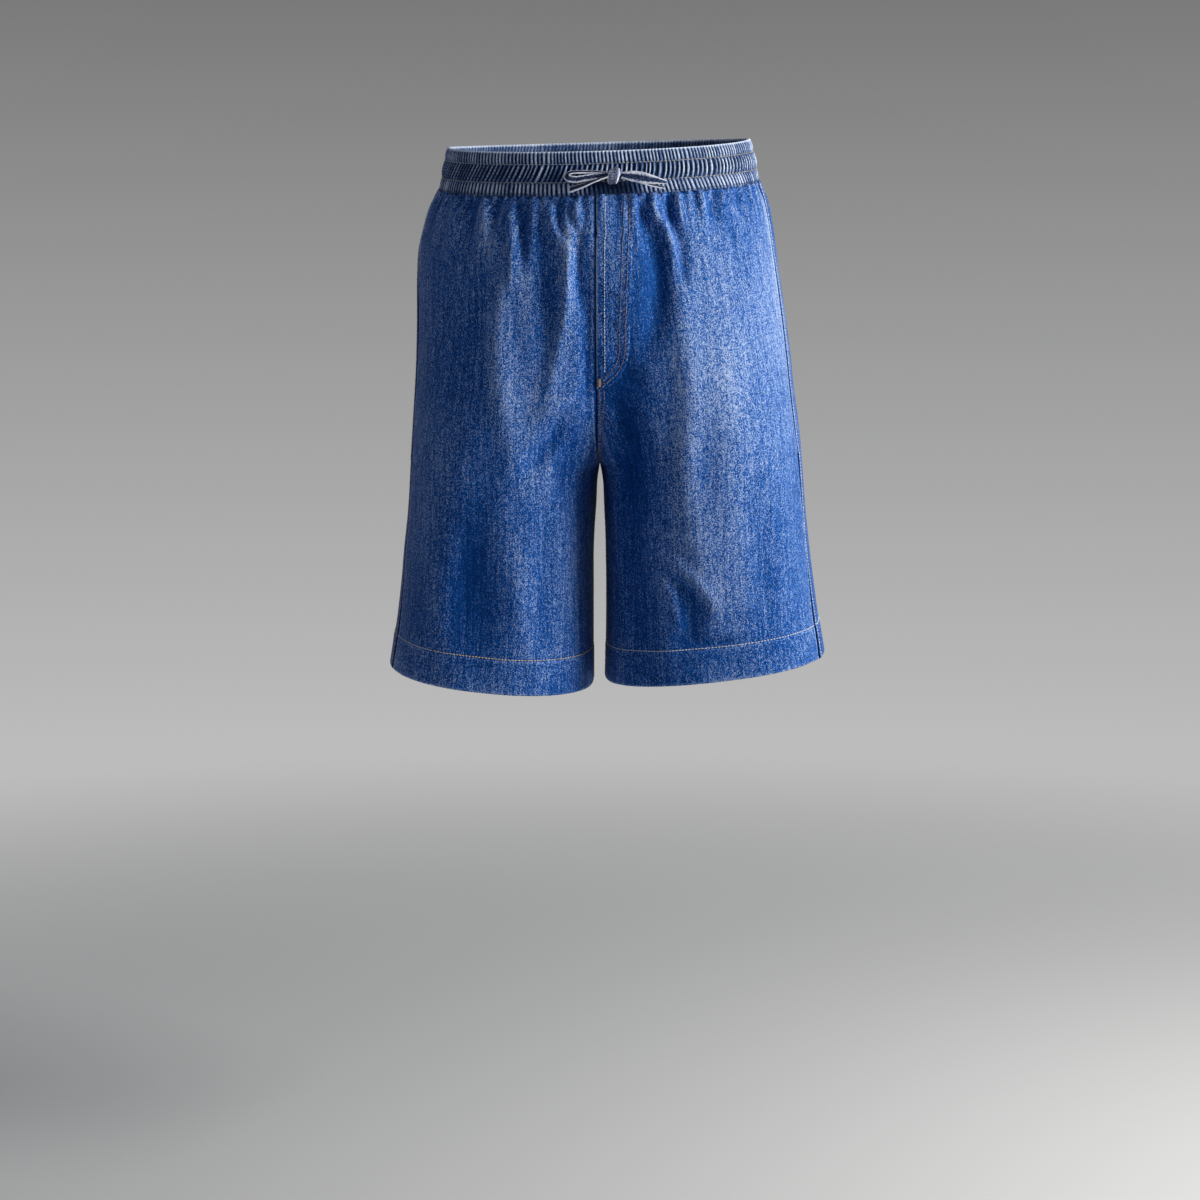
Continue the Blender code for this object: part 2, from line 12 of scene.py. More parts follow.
import bpy
import numpy as np
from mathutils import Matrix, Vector


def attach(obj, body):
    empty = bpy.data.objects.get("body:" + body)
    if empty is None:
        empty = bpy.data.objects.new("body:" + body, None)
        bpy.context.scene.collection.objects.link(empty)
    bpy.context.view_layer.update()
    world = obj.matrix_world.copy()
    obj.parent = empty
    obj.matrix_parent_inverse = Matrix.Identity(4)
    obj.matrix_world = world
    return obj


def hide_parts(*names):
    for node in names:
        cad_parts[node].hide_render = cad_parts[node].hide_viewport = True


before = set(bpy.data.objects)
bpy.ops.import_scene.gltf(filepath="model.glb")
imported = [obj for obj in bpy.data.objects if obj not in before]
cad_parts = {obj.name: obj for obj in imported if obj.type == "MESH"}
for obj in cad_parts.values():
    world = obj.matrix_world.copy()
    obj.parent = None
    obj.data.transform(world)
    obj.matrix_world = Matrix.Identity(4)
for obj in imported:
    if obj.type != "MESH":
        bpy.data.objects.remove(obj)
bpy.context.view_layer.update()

MM = 0.001

# ---------------------------------------------------------------- the form, as in the model
WALL = 1.4
LAYER_GAP = 0.35
HEM_WALL = 1.2

BAND_TOP = -20.0
BAND_BOTTOM = 20.0
PANEL_TOP = 20.4
CROTCH = 285.0
HEM = 493.0
HEM_TURN = 36.0

SECTION_COLUMNS = ("down", "right", "left", "front", "back", "seam_right", "seam_left", "square")
SECTIONS = (
    (-20, 150.5, 147.5, 104, 102, 12, 12, 2.00),
    (0, 154.5, 152.5, 107, 105, 12, 12, 2.00),
    (20, 158.5, 156.0, 109, 109, 12, 17, 2.00),
    (38, 168.0, 163.5, 112, 114, 14, 23, 2.05),
    (58, 174.0, 168.5, 115, 119, 17, 27, 2.10),
    (78, 178.5, 172.0, 117, 123, 21, 30, 2.15),
    (100, 180.0, 175.5, 118, 128, 26, 32, 2.20),
    (150, 181.0, 183.0, 119, 134, 35, 37, 2.25),
    (190, 182.5, 188.0, 118, 135, 40, 41, 2.30),
    (235, 185.0, 193.0, 117, 130, 43, 44, 2.35),
    (285, 187.5, 199.0, 115, 118, 45, 46, 2.40),
    (340, 191.0, 204.0, 111, 105, 46, 46, 2.40),
    (375, 195.0, 207.5, 108, 97, 46, 46, 2.40),
    (410, 198.0, 212.0, 105, 90, 46, 46, 2.40),
    (455, 203.5, 218.5, 101, 82, 46, 46, 2.40),
    (493, 210.0, 225.0, 98, 77, 46, 46, 2.40),
)
CENTRE_GAP = 0.01
QUARTER_STEPS = 64
SMALLEST_CUT = 1e-6
RISE_TOP = 60.0
FRONT_RISE_POWER = 3.0
BACK_RISE_POWER = 2.2
LEG_FORM_TOP = 40.0
LEG_GAP_COLUMNS = ("down", "half_gap")
LEG_GAPS = ((285, 0.01), (300, 3.0), (326, 4.7), (360, 6.4), (395, 6.8), (460, 6.8), (493, 6.5))
INNER_FRONT_SQUARE = 2.4
INNER_BACK_SQUARE = 2.5
ROLL = 0.0235
WAIST_TIP_FRONT = 0.19
WAIST_TIP_BACK = 0.12
HEM_TIP_FRONT = {-1: 0.105, 1: 0.05}
HEM_TIP_BACK = -0.03
INSEAM_DROP = {-1: 19.0, 1: 16.0}
HEM_SIDE_RISE = {-1: 7.5, 1: 6.5}
ARC_STEP = 1.0
LEVEL_STEP = 0.7
WIDEN_TOP = 200.0
WIDEN_BOTTOM = 400.0
WIDEN_POWER = 4.0

# Folds: a ridge (height above 0) or a trough along a curve from start through middle to end, seen
# from the front or the back
FOLD_COLUMNS = ("x0", "z0", "x1", "z1", "x2", "z2", "width", "height")
FRONT_FOLDS = (
    (-108, -40, -103, -66, -96, -96, 8, 3.2),
    (-81, -40, -79, -80, -79, -124, 6, 4.0),
    (-82, -112, -93, -185, -76, -300, 14, 5.5),
    (-56, -60, -47, -140, -44, -215, 12, -5.0),
    (-48, -41, -38, -73, -25, -92, 6, 3.4),
    (-24, -88, -27, -125, -29, -166, 6, 5.0),
    (-33, -158, -38, -195, -45, -235, 9, 4.5),
    (-15, -68, -17, -106, -12, -146, 5, -4.5),
    (-7, -95, -8, -190, -7, -262, 6, -4.0),
    (-30, -250, -46, -278, -68, -300, 9, -6.0),
    (-112, -300, -114, -400, -114, -495, 18, -5.0),
    (42, -60, 60, -112, 50, -185, 11, -8.0),
    (22, -170, 30, -260, 32, -380, 18, -7.0),
    (50, -50, 69, -78, 74, -108, 6, 5.0),
    (70, -50, 78, -80, 82, -122, 6, -5.0),
    (78, -120, 88, -220, 84, -330, 14, 5.0),
    (118, -150, 122, -300, 124, -440, 26, 4.0),
    (86, -405, 90, -440, 82, -470, 12, -5.5),
    (32, -360, 36, -420, 40, -480, 18, -5.0),
    (80, -250, 92, -350, 104, -440, 18, 5.0),
)
BACK_FOLDS = (
    (-95, -30, -98, -70, -96, -120, 11, 4.0),
    (-45, -30, -44, -60, -48, -110, 10, -3.5),
    (55, -30, 50, -65, 54, -120, 11, -4.0),
    (105, -30, 100, -70, 104, -130, 12, 4.0),
    (-30, -220, -60, -270, -110, -300, 16, -4.5),
    (32, -225, 70, -268, 115, -310, 16, -4.5),
    (-95, -300, -105, -390, -110, -490, 22, 4.0),
    (100, -320, 112, -400, 118, -485, 22, 4.0),
)
FOLD_STEPS = 10
FOLD_END_SHARE = 0.08
FOLD_TAPER_POWER = 0.8
FOLD_EDGE = (3.0, 30.0)
SIDE_EDGE = (90.0, 150.0)
FOLD_TOP_FADE = 14.0
CREASE_TOP_FADE = 4.0
LEG_FOLD_TOP = 160.0
LEG_FOLD_FADE = (8.0, 26.0)

# ---------------------------------------------------------------- fine detail
ROW = 1.9
EDGE_COLUMNS = np.array([0.0, 0.45, 1.0, 1.8])
FRONT_COUNT = 100
BACK_COUNT = 112


def smooth_step(low, high, value):
    """0 below low, 1 above high, and a smooth rise between."""
    t = np.clip((np.asarray(value, float) - low) / (high - low), 0.0, 1.0)
    return t * t * (3.0 - 2.0 * t)


def bump(middle, width, value):
    """A soft bump, 1 in its middle."""
    return np.exp(-(((np.asarray(value, float) - middle) / width) ** 2))


def rows_of(columns, table):
    """Each row of a table as a dictionary."""
    return [dict(zip(columns, row)) for row in table]


def curve_between(t, step, start, end, start_slope, end_slope):
    """A smooth curve between two values with these slopes, t from 0 to 1 over the step."""
    return (
        (2 * t**3 - 3 * t**2 + 1) * start
        + (t**3 - 2 * t**2 + t) * step * start_slope
        + (3 * t**2 - 2 * t**3) * end
        + (t**3 - t**2) * step * end_slope
    )


def read_off(columns, table, name, down):
    """A column of a table at any level, on a smooth curve through its rows."""
    table = np.array(table, float)
    places, values = table[:, 0], table[:, columns.index(name)]
    slopes = np.gradient(values, places)
    down = float(np.clip(down, places[0], places[-1]))
    i = int(np.clip(np.searchsorted(places, down) - 1, 0, len(places) - 2))
    step = places[i + 1] - places[i]
    t = (down - places[i]) / step
    return curve_between(t, step, values[i], values[i + 1], slopes[i], slopes[i + 1])


@functools.lru_cache(maxsize=None)
def size_at(name, down):
    return read_off(SECTION_COLUMNS, SECTIONS, name, down)


def quarter(middle, reach, depth, power, end_share):
    """A boxed quarter ellipse from its far end (share 1 of reach, or less if cut) to its middle."""
    start = math.acos(min(1.0, end_share ** (power / 2)))
    angle = np.linspace(start, math.pi / 2, QUARTER_STEPS)
    along = np.abs(np.cos(angle)) ** (2 / power)
    out = np.abs(np.sin(angle)) ** (2 / power)
    return np.stack([middle + reach * along, depth * out], axis=1)


@functools.lru_cache(maxsize=4096)
def half_section(side, down):
    """The half section at a level: its points (x, y) on the +X side, and the arc length to each."""
    name = "right" if side < 0 else "left"
    wide, square = size_at(name, down), size_at("square", down)
    inner_end = CENTRE_GAP
    if down > CROTCH:
        inner_end = read_off(LEG_GAP_COLUMNS, LEG_GAPS, "half_gap", down)
    middle = smooth_step(LEG_FORM_TOP, CROTCH, down) * (wide + inner_end) / 2
    middle = max(float(middle), inner_end)
    fall = min(max((down - RISE_TOP) / (CROTCH - RISE_TOP), 0.0), 1.0)
    pieces = []
    for sign, depth_name, rise_power, inner_square in (
        (-1, "front", FRONT_RISE_POWER, INNER_FRONT_SQUARE),
        (1, "back", BACK_RISE_POWER, INNER_BACK_SQUARE),
    ):
        depth = sign * size_at(depth_name, down)
        centre_share = (1 - fall**rise_power) ** (1 / rise_power)
        cut = (1 - centre_share**inner_square) ** (1 / inner_square)
        reach = (middle - inner_end) / cut if cut > SMALLEST_CUT else 0.0
        inner = quarter(middle, -reach, depth, inner_square, max(cut, SMALLEST_CUT))
        outer = quarter(middle, wide - middle, depth, square, 1.0)[::-1]
        pieces.append((inner, outer))
    front_inner, front_outer = pieces[0]
    back_inner, back_outer = pieces[1]
    line = np.concatenate([front_inner, front_outer[1:], back_outer[::-1][1:], back_inner[::-1][1:]])
    arc = np.concatenate([[0.0], np.cumsum(np.linalg.norm(np.diff(line, axis=0), axis=1))])
    side_arc = arc[len(front_inner) + len(front_outer) - 2]
    return line, arc, side_arc


def height_at(side, down, x, y):
    """How high the point (x, y) of a level lies."""
    share = min(max((down - BAND_TOP) / (HEM - BAND_TOP), 0.0), 1.0)
    front_tip = WAIST_TIP_FRONT + share * (HEM_TIP_FRONT[side] - WAIST_TIP_FRONT)
    back_tip = WAIST_TIP_BACK + share * (HEM_TIP_BACK - WAIST_TIP_BACK)
    wide = size_at("right" if side < 0 else "left", down)
    out = np.abs(x) / wide
    bent = share**2 * (HEM_SIDE_RISE[side] * out**3 - INSEAM_DROP[side] * (1 - out))
    return -down + ROLL * x + np.where(y < 0, front_tip, back_tip) * y + bent


def form_points(side, down, arcs):
    """Points of the form at a level, at these arc lengths from the centre front."""
    line, arc, _ = half_section(side, down)
    x = side * np.interp(arcs, arc, line[:, 0])
    y = np.interp(arcs, arc, line[:, 1])
    return np.stack([x, y, height_at(side, down, x, y)], axis=1)


def outward(side, down, arcs):
    """The form's unit normals at a level, at these arc lengths."""
    _, arc, side_arc = half_section(side, down)
    low, high = np.clip(arcs - ARC_STEP, 0, arc[-1]), np.clip(arcs + ARC_STEP, 0, arc[-1])
    across = form_points(side, down, high) - form_points(side, down, low)
    ends = []
    for level in (down - LEVEL_STEP, down + LEVEL_STEP):
        _, other, other_side = half_section(side, level)
        ends.append(form_points(side, level, np.clip(arcs - side_arc + other_side, 0, other[-1])))
    normal = side * np.cross(ends[1] - ends[0], across)
    return normal / np.linalg.norm(normal, axis=1)[:, None]


def fold_path(fold):
    """A fold's curve in (x, z), as short straight runs through its middle point."""
    t = np.linspace(0.0, 1.0, FOLD_STEPS + 1)[:, None]
    start = np.array([fold["x0"], fold["z0"]])
    through = np.array([fold["x1"], fold["z1"]])
    end = np.array([fold["x2"], fold["z2"]])
    bend = 2 * through - (start + end) / 2
    return (1 - t) ** 2 * start + 2 * t * (1 - t) * bend + t**2 * end


def fold_relief(fold, x, z):
    """How far one fold lifts the cloth at (x, z)."""
    path = fold_path(fold)
    nearest = np.full(np.shape(x), np.inf)
    along = np.zeros(np.shape(x))
    for i in range(FOLD_STEPS):
        run = path[i + 1] - path[i]
        t = ((x - path[i, 0]) * run[0] + (z - path[i, 1]) * run[1]) / (run @ run)
        t = np.clip(t, 0.0, 1.0)
        away = np.hypot(x - path[i, 0] - t * run[0], z - path[i, 1] - t * run[1])
        along = np.where(away < nearest, (i + t) / FOLD_STEPS, along)
        nearest = np.minimum(nearest, away)
    share = FOLD_END_SHARE + (1 - 2 * FOLD_END_SHARE) * along
    taper = np.sin(math.pi * share) ** FOLD_TAPER_POWER
    return fold["height"] * taper * np.exp(-((nearest / fold["width"]) ** 2))


# Finer creases of the cloth, which the model leaves out; the same columns as the folds
FRONT_CREASES = (
    # wearer's right: gathers that run down from the waistband
    (-137, -22, -138, -50, -144, -95, 6, 2.7),
    (-122, -26, -121, -50, -126, -100, 6, -3),
    (-108, -28, -106, -52, -110, -86, 5, 2.7),
    (-96, -30, -97, -50, -101, -92, 4, -2.7),
    (-70, -34, -70, -60, -70, -110, 5, -3.9),
    (-55, -36, -59, -62, -60, -96, 4, 3),
    (-39, -38, -36, -56, -33, -84, 4, -3.3),
    (-27, -40, -20, -52, -15, -74, 4, 3.6),
    (-30, -58, -25, -74, -17, -86, 4, 2.4),
    # wearer's left: gathers
    (37, -38, 38, -60, 41, -92, 4, 3.3),
    (45, -38, 44, -52, 48, -72, 3.5, -3.3),
    (55, -36, 54, -50, 57, -66, 4, 2.4),
    (69, -34, 68, -50, 73, -78, 4, -3.9),
    (79, -33, 79, -48, 81, -72, 4, 2.7),
    (101, -30, 100, -42, 103, -60, 4, 2.7),
    (110, -29, 110, -44, 116, -66, 3.5, -3.9),
    (121, -27, 121, -40, 127, -62, 4, 2.7),
    (133, -24, 135, -38, 141, -58, 4, -2.4),
    # fan beside the fly
    (34, -122, 26, -132, 14, -128, 3, 1.5),
    (33, -150, 24, -158, 12, -152, 3, 1.4),
    # drag lines towards the crotch
    (-18, -222, -34, -238, -56, -248, 6, 3),
    (9, -226, 23, -250, 37, -284, 7, -3),
    (24, -214, 38, -236, 54, -262, 8, 2.4),
    (-14, -262, -28, -290, -36, -330, 8, -3),
    # lower legs
    (62, -372, 88, -398, 112, -424, 6, 3.3),
    (58, -398, 74, -424, 84, -462, 6, 3),
    (76, -404, 92, -416, 104, -440, 6, -3.3),
    (92, -470, 108, -464, 132, -462, 5, -2.4),
    (48, -350, 70, -362, 100, -364, 6, 1.8),
    (-158, -380, -154, -420, -160, -470, 12, 2.4),
    (-132, -340, -128, -400, -136, -480, 12, -2.7),
    (-70, -380, -74, -430, -68, -480, 12, 3),
    (-47, -330, -49, -400, -45, -480, 10, -2.4),
    (152, -300, 158, -380, 164, -460, 12, -2.1),
)
BACK_CREASES = (
    (-128, -16, -130, -44, -134, -84, 6, -2.0),
    (-112, -14, -110, -40, -114, -72, 5, 2.0),
    (-78, -12, -78, -36, -82, -74, 5, -2.2),
    (-62, -10, -60, -38, -62, -66, 5, 2.0),
    (-26, -8, -26, -34, -30, -70, 5, 2.2),
    (-12, -8, -12, -30, -14, -56, 4, -1.8),
    (18, -8, 17, -34, 14, -64, 5, 2.0),
    (34, -8, 34, -30, 38, -58, 4, -1.8),
    (74, -8, 76, -40, 80, -78, 5, 2.2),
    (90, -8, 88, -36, 88, -66, 5, -2.2),
    (122, -12, 124, -40, 130, -80, 6, -2.0),
    (-20, -236, -48, -258, -86, -268, 8, 2.4),
    (22, -240, 54, -262, 96, -276, 8, 2.4),
    (-18, -262, -46, -296, -90, -330, 9, -2.2),
    (20, -266, 52, -300, 92, -336, 9, -2.2),
    (-60, -360, -66, -420, -58, -486, 12, -2.2),
    (-150, -340, -152, -400, -158, -480, 12, -2.0),
    (62, -350, 68, -410, 60, -486, 12, -2.2),
    (156, -330, 160, -400, 166, -478, 12, 2.0),
    (-84, -400, -104, -424, -124, -438, 7, 1.6),
    (76, -396, 96, -414, 120, -424, 7, 1.6),
)


# Across the sides these run by y in place of x
SIDE_CREASES = {
    -1: (
        (24, -20, 22, -60, 18, -112, 7, 2.2), (46, -18, 48, -50, 54, -96, 7, -2.4),
        (68, -16, 70, -56, 78, -120, 8, 2.4), (92, -14, 92, -44, 98, -84, 7, -2.2),
        (34, -150, 52, -230, 54, -330, 16, -3.0), (78, -200, 70, -270, 52, -330, 12, 2.4),
        (62, -330, 56, -400, 48, -480, 12, 2.4), (14, -260, 22, -350, 18, -470, 16, 2.0),
    ),
    1: (
        (18, -14, 20, -50, 14, -90, 7, 2.2), (38, -12, 36, -52, 42, -104, 7, -2.4),
        (60, -10, 64, -46, 66, -88, 8, 2.4), (86, -8, 84, -52, 94, -116, 8, -2.4),
        (28, -140, 44, -210, 48, -320, 16, -3.0), (84, -190, 72, -262, 58, -318, 12, 2.4),
        (58, -330, 60, -400, 50, -480, 13, -2.4), (10, -250, 26, -340, 24, -470, 15, 2.2),
    ),
}


def fold_lift(across, z, facing, table):
    """How far a table's folds lift the cloth, at points this far across and this high."""
    total = np.zeros(len(z))
    if not facing.any():
        return total
    for fold in rows_of(FOLD_COLUMNS, table):
        reach = 3 * fold["width"]
        low = min(fold["z0"], fold["z1"], fold["z2"]) - reach
        high = max(fold["z0"], fold["z1"], fold["z2"]) + reach
        if z.max() > low and z.min() < high:
            total = total + facing * fold_relief(fold, across, z)
    return total


def relief(points, down):
    """The broad folds, faded under the waistband and beside the legs' gap, and the fine creases."""
    x, y, z = points.T
    front, back = smooth_step(*FOLD_EDGE, -y), smooth_step(*FOLD_EDGE, y)
    broad = fold_lift(x, z, front, FRONT_FOLDS) + fold_lift(x, z, back, BACK_FOLDS)
    broad = broad * smooth_step(PANEL_TOP, PANEL_TOP + FOLD_TOP_FADE, down)
    beside_gap = smooth_step(*LEG_FOLD_FADE, np.abs(x))
    broad = broad * (1 - smooth_step(LEG_FOLD_TOP, CROTCH, down) * (1 - beside_gap))
    fine = fold_lift(x, z, front, FRONT_CREASES) + fold_lift(x, z, back, BACK_CREASES)
    sides = SIDE_CREASES[1 if x.mean() > 0 else -1]
    fine = fine + fold_lift(y, z, smooth_step(*SIDE_EDGE, np.abs(x)), sides)
    return broad + fine * smooth_step(PANEL_TOP, PANEL_TOP + CREASE_TOP_FADE, down)


NOISE_CELLS = 64


@functools.lru_cache(maxsize=None)
def noise_table(seed):
    return np.random.default_rng(seed).uniform(-1.0, 1.0, (NOISE_CELLS, NOISE_CELLS))


def noise(u, v, seed):
    """Smooth noise from -1 to 1 that varies over about one unit of u and of v."""
    u, v = np.broadcast_arrays(np.asarray(u, float), np.asarray(v, float))
    table = noise_table(seed)
    i, j = np.floor(u).astype(int), np.floor(v).astype(int)
    a, b = u - i, v - j
    a, b = a * a * (3 - 2 * a), b * b * (3 - 2 * b)
    i0, i1, j0, j1 = i % NOISE_CELLS, (i + 1) % NOISE_CELLS, j % NOISE_CELLS, (j + 1) % NOISE_CELLS
    top = (1 - a) * table[i0, j0] + a * table[i1, j0]
    bottom = (1 - a) * table[i0, j1] + a * table[i1, j1]
    return (1 - b) * top + b * bottom


# Patches of the front: worn above 0 is paler, as washed over the thighs and the left hip, and over the left
# hip partly painted highlight where the key light falls; below 0 darker, which is partly painted shade in
# the hollows
WASH_AND_SHADE_COLUMNS = ("x", "z", "wide", "tall", "worn")
WASH_AND_SHADE_PATCHES = (
    (-62, -190, 30, 110, 0.10), (-50, -380, 30, 80, 0.04), (134, -160, 52, 130, 0.20),
    (150, -360, 40, 90, 0.06), (14, -208, 17, 26, -0.30), (96, -430, 46, 60, -0.07),
    (-110, -430, 50, 70, -0.08), (98, -320, 24, 80, -0.13), (188, -130, 26, 90, 0.24),
    (180, -390, 40, 110, -0.06), (-22, -84, 14, 30, 0.28), (42, -145, 13, 62, -0.24),
    (-44, -305, 14, 34, 0.14), (-102, -84, 10, 22, 0.25),
)

# Small gathers that the elastic pulls into the panels, all round
GATHER_SPACING = (7.0, 15.0)
GATHER_WIDTH = (2.0, 4.4)
GATHER_HEIGHT = (0.9, 2.6)
GATHER_LENGTH = (9.0, 42.0)
GATHER_START = 6.0
GATHER_FADE_POWER = 1.4
GATHER_LEAST = 0.01
GATHER_SPREAD = 0.6
GATHER_SEEDS = {(-1, "front"): 3, (1, "front"): 5, (-1, "back"): 7, (1, "back"): 9}


@functools.lru_cache(maxsize=None)
def gathers_of(side, part):
    """Where the small gathers of a panel lie: rows of (arc, width, height, length)."""
    chance = np.random.default_rng(GATHER_SEEDS[side, part])
    _, arc, _ = half_section(side, PANEL_TOP)
    rows, at, sign = [], GATHER_START, 1
    while at < arc[-1]:
        height = sign * chance.uniform(*GATHER_HEIGHT)
        rows.append((at, chance.uniform(*GATHER_WIDTH), height, chance.uniform(*GATHER_LENGTH)))
        at += chance.uniform(*GATHER_SPACING) / 2
        sign = -sign
    return rows


def gather_relief(side, part, down, top_arcs):
    """The small gathers at a level, on columns that start at these arcs under the waistband."""
    total = np.zeros(len(top_arcs))
    below = max(down - PANEL_TOP, 0.0)
    for at, width, height, length in gathers_of(side, part):
        fade = math.exp(-((below / length) ** GATHER_FADE_POWER))
        if fade > GATHER_LEAST:
            total += height * fade * bump(at, width * (1 + GATHER_SPREAD * below / length), top_arcs)
    return total


def seam_arc(side, down):
    """Where the side seam lies, as an arc length from the centre front."""
    _, _, side_arc = half_section(side, down)
    return side_arc - size_at("seam_right" if side < 0 else "seam_left", down)


def panel_width(part, side, down):
    """How wide a panel is at a level, from its side seam to the centre seam or the inseam."""
    _, arc, _ = half_section(side, down)
    return seam_arc(side, down) if part == "front" else arc[-1] - seam_arc(side, down)


def spread(part, side, down, count):
    """A panel's columns as distances from its side seam, closer together at its two edges."""
    share = float(smooth_step(WIDEN_TOP, WIDEN_BOTTOM, down))
    above = panel_width(part, side, min(down, WIDEN_TOP))
    below = panel_width(part, side, max(down, WIDEN_BOTTOM))
    even = (1 - share) * above + share * below
    width = panel_width(part, side, down)
    t = np.linspace(0.0, 1.0, count + 1)
    inner = (even * t + (width - even) * t**WIDEN_POWER) / width
    edge = EDGE_COLUMNS[-1] + ROW / 2
    return np.concatenate([EDGE_COLUMNS, edge + (width - 2 * edge) * inner, width - EDGE_COLUMNS[::-1]])


# Pocket opening in the side seam: how far its edge gapes and stands proud
POCKET_TOP = 22.0
POCKET_BOTTOM = 160.0
POCKET_GAPE = {-1: 0.9, 1: 2.6}
POCKET_LIFT = 1.4
POCKET_LIFT_WIDTH = 7.0
POCKET_GAPE_WIDTH = 10.0
# The gape grows fast from its top (the first power) and tapers (the second)
POCKET_POWERS = (0.42, 1.5)

# Stitching
SEAM_ROW = 3.0
SEAM_ROW_2 = 7.6
SEAM_STRIP = 4.5
HEM_ROW = 34.0
HEM_THICK = 0.55
PUCKER_PITCH = 6.2
# Height or depth, and width
GROOVE = (-0.38, 0.9)
EDGE_ROLL = (-0.75, 1.3)
BACK_PUCKERS = (0.34, 3.4)
FRONT_PUCKERS = (0.16, 4.5)
CENTRE_PUCKERS = (0.22, 4.5)
SEAMED_PUCKERS = 0.16
# Height of the doubled cloth beside a seam, and where it starts and ends
SIDE_LAP = (0.5, 6.4, 4.0)
CENTRE_LAP = (0.25, 10.5, 8.0)
CENTRE_FADE = (12.0, -6.0)
# Wear beside a seam as (height, place, width): paler on the roll, dark in the groove
ROLL_WEAR = (0.35, 2.6, 1.4)
SEAM_WEAR = (0.8, 0.0, 1.3)
# The turned hem: its step, puckers (height, pitch, slant, place, width), waviness and edge
HEM_STEP = (1.0, -2.2)
HEM_PUCKERS = (0.34, 7.4, 0.9, 4.0, 6.0)
HEM_WAVY = (0.9, 34.0, 26.0)
HEM_EDGE = (-0.9, 1.6)
# Unevenness of hanging cloth as (height, cell across, cell down, seed)
DRAPES = ((0.7, 46.0, 120.0, 0), (0.4, 21.0, 64.0, 8), (0.10, 9.0, 21.0, 16))
DRAPE_CALM = 30.0


def pocket_share(down):
    """0 outside the pocket opening and up to 1 in it, most near its top."""
    share = (down - POCKET_TOP) / (POCKET_BOTTOM - POCKET_TOP)
    if not 0.0 < share < 1.0:
        return 0.0
    return math.sin(math.pi * share ** POCKET_POWERS[0]) ** POCKET_POWERS[1]


def stitch_groove(distance):
    """The groove that a row of stitches pulls into the cloth."""
    return GROOVE[0] * bump(0.0, GROOVE[1], distance)


def puckers(along, distance, seed, pitch=PUCKER_PITCH, slant=0.7):
    """Small slanting puckers beside a row of stitches."""
    wander = 1.6 * noise(along / 23.0, distance * 0 + 0.5, seed)
    wave = np.sin(2 * math.pi * (along + slant * distance) / pitch + wander)
    strength = 0.65 + 0.35 * noise(along / 11.0, distance * 0 + 7.5, seed + 1)
    return wave * strength


def seam_relief(part, side, down, from_side, width):
    """Grooves, puckers and rolled edges beside a panel's seams, and its lift there."""
    from_end = width - from_side
    deep, roll = EDGE_ROLL
    lift = deep * np.clip(1 - from_side / roll, 0, 1) ** 2 + deep * np.clip(1 - from_end / roll, 0, 1) ** 2
    seed = 11 + 4 * (part == "back") + 2 * (side > 0)
    open_pocket = pocket_share(down)
    if part == "back":
        high, reach = BACK_PUCKERS
        lift = lift + SIDE_LAP[0] * smooth_step(*SIDE_LAP[1:], from_side)
        lift = lift + stitch_groove(from_side - SEAM_ROW)
        lift = lift + high * puckers(down, from_side, seed) * bump(SEAM_ROW, reach, from_side)
    else:
        high, reach = FRONT_PUCKERS
        small = puckers(down, from_side, seed, slant=-0.5) * bump(0, reach, from_side)
        lift = lift + high * (1 - open_pocket) * small
        lift = lift + open_pocket * POCKET_LIFT * bump(0, POCKET_LIFT_WIDTH, from_side)
    centre = float(smooth_step(CROTCH + CENTRE_FADE[0], CROTCH + CENTRE_FADE[1], down))
    seamed = part == "back" or side > 0
    amount = CENTRE_PUCKERS[0] + (SEAMED_PUCKERS if seamed else 0.0)
    lift = lift + amount * puckers(down, from_end, seed + 20) * bump(SEAM_ROW, CENTRE_PUCKERS[1], from_end)
    if seamed:
        lift = lift + centre * (stitch_groove(from_end - SEAM_ROW) + stitch_groove(from_end - SEAM_ROW_2))
        lift = lift + centre * CENTRE_LAP[0] * smooth_step(*CENTRE_LAP[1:], from_end)
    return lift


def seam_wear(distance):
    """How worn the cloth is beside a seam: dark in the seam's groove, paler on the roll beside it."""
    (pale, at, wide), (dark, seam, narrow) = ROLL_WEAR, SEAM_WEAR
    return pale * bump(at, wide, distance) - dark * bump(seam, narrow, distance)


def hem_step(up):
    """The doubled cloth of the hem, from the hem's edge up to its stitch row."""
    return HEM_THICK * smooth_step(HEM_ROW + HEM_STEP[0], HEM_ROW + HEM_STEP[1], up)


def hem_relief(down, arcs, seed):
    """The turned hem: twice as thick below its stitch row, with a groove and slanting puckers."""
    up = HEM - down
    groove = stitch_groove(up - HEM_ROW)
    high, pitch, slant, lower, wide = HEM_PUCKERS
    below = bump(HEM_ROW - lower, wide, up)
    slanting = high * puckers(arcs, up - HEM_ROW, seed, pitch, slant) * below
    high, cell, top = HEM_WAVY
    wavy = high * noise(arcs / cell, 0.5, seed + 2) * smooth_step(top, 0, up)
    edge = HEM_EDGE[0] * np.clip(1 - up / HEM_EDGE[1], 0, 1) ** 2
    return hem_step(up) + groove + slanting + wavy + edge


def drape(side, part, down, arcs):
    """Broad unevenness of hanging cloth."""
    seed = 41 + 2 * (part == "back") + (side > 0)
    broad, middle, small = (
        high * noise(arcs / across, down / along, seed + more) for high, across, along, more in DRAPES
    )
    return smooth_step(0, DRAPE_CALM, arcs) * (broad + middle) + small


def washed_and_shaded(x, z, facing):
    """How much paler, or below 0 darker, the patches of the front make the cloth: paler partly from washing
    and partly as painted highlight, darker partly as painted shade.
    """
    total = np.zeros(len(x))
    for fade in rows_of(WASH_AND_SHADE_COLUMNS, WASH_AND_SHADE_PATCHES):
        away = ((x - fade["x"]) / fade["wide"]) ** 2 + ((z - fade["z"]) / fade["tall"]) ** 2
        total = total + fade["worn"] * np.exp(-away)
    return total * facing


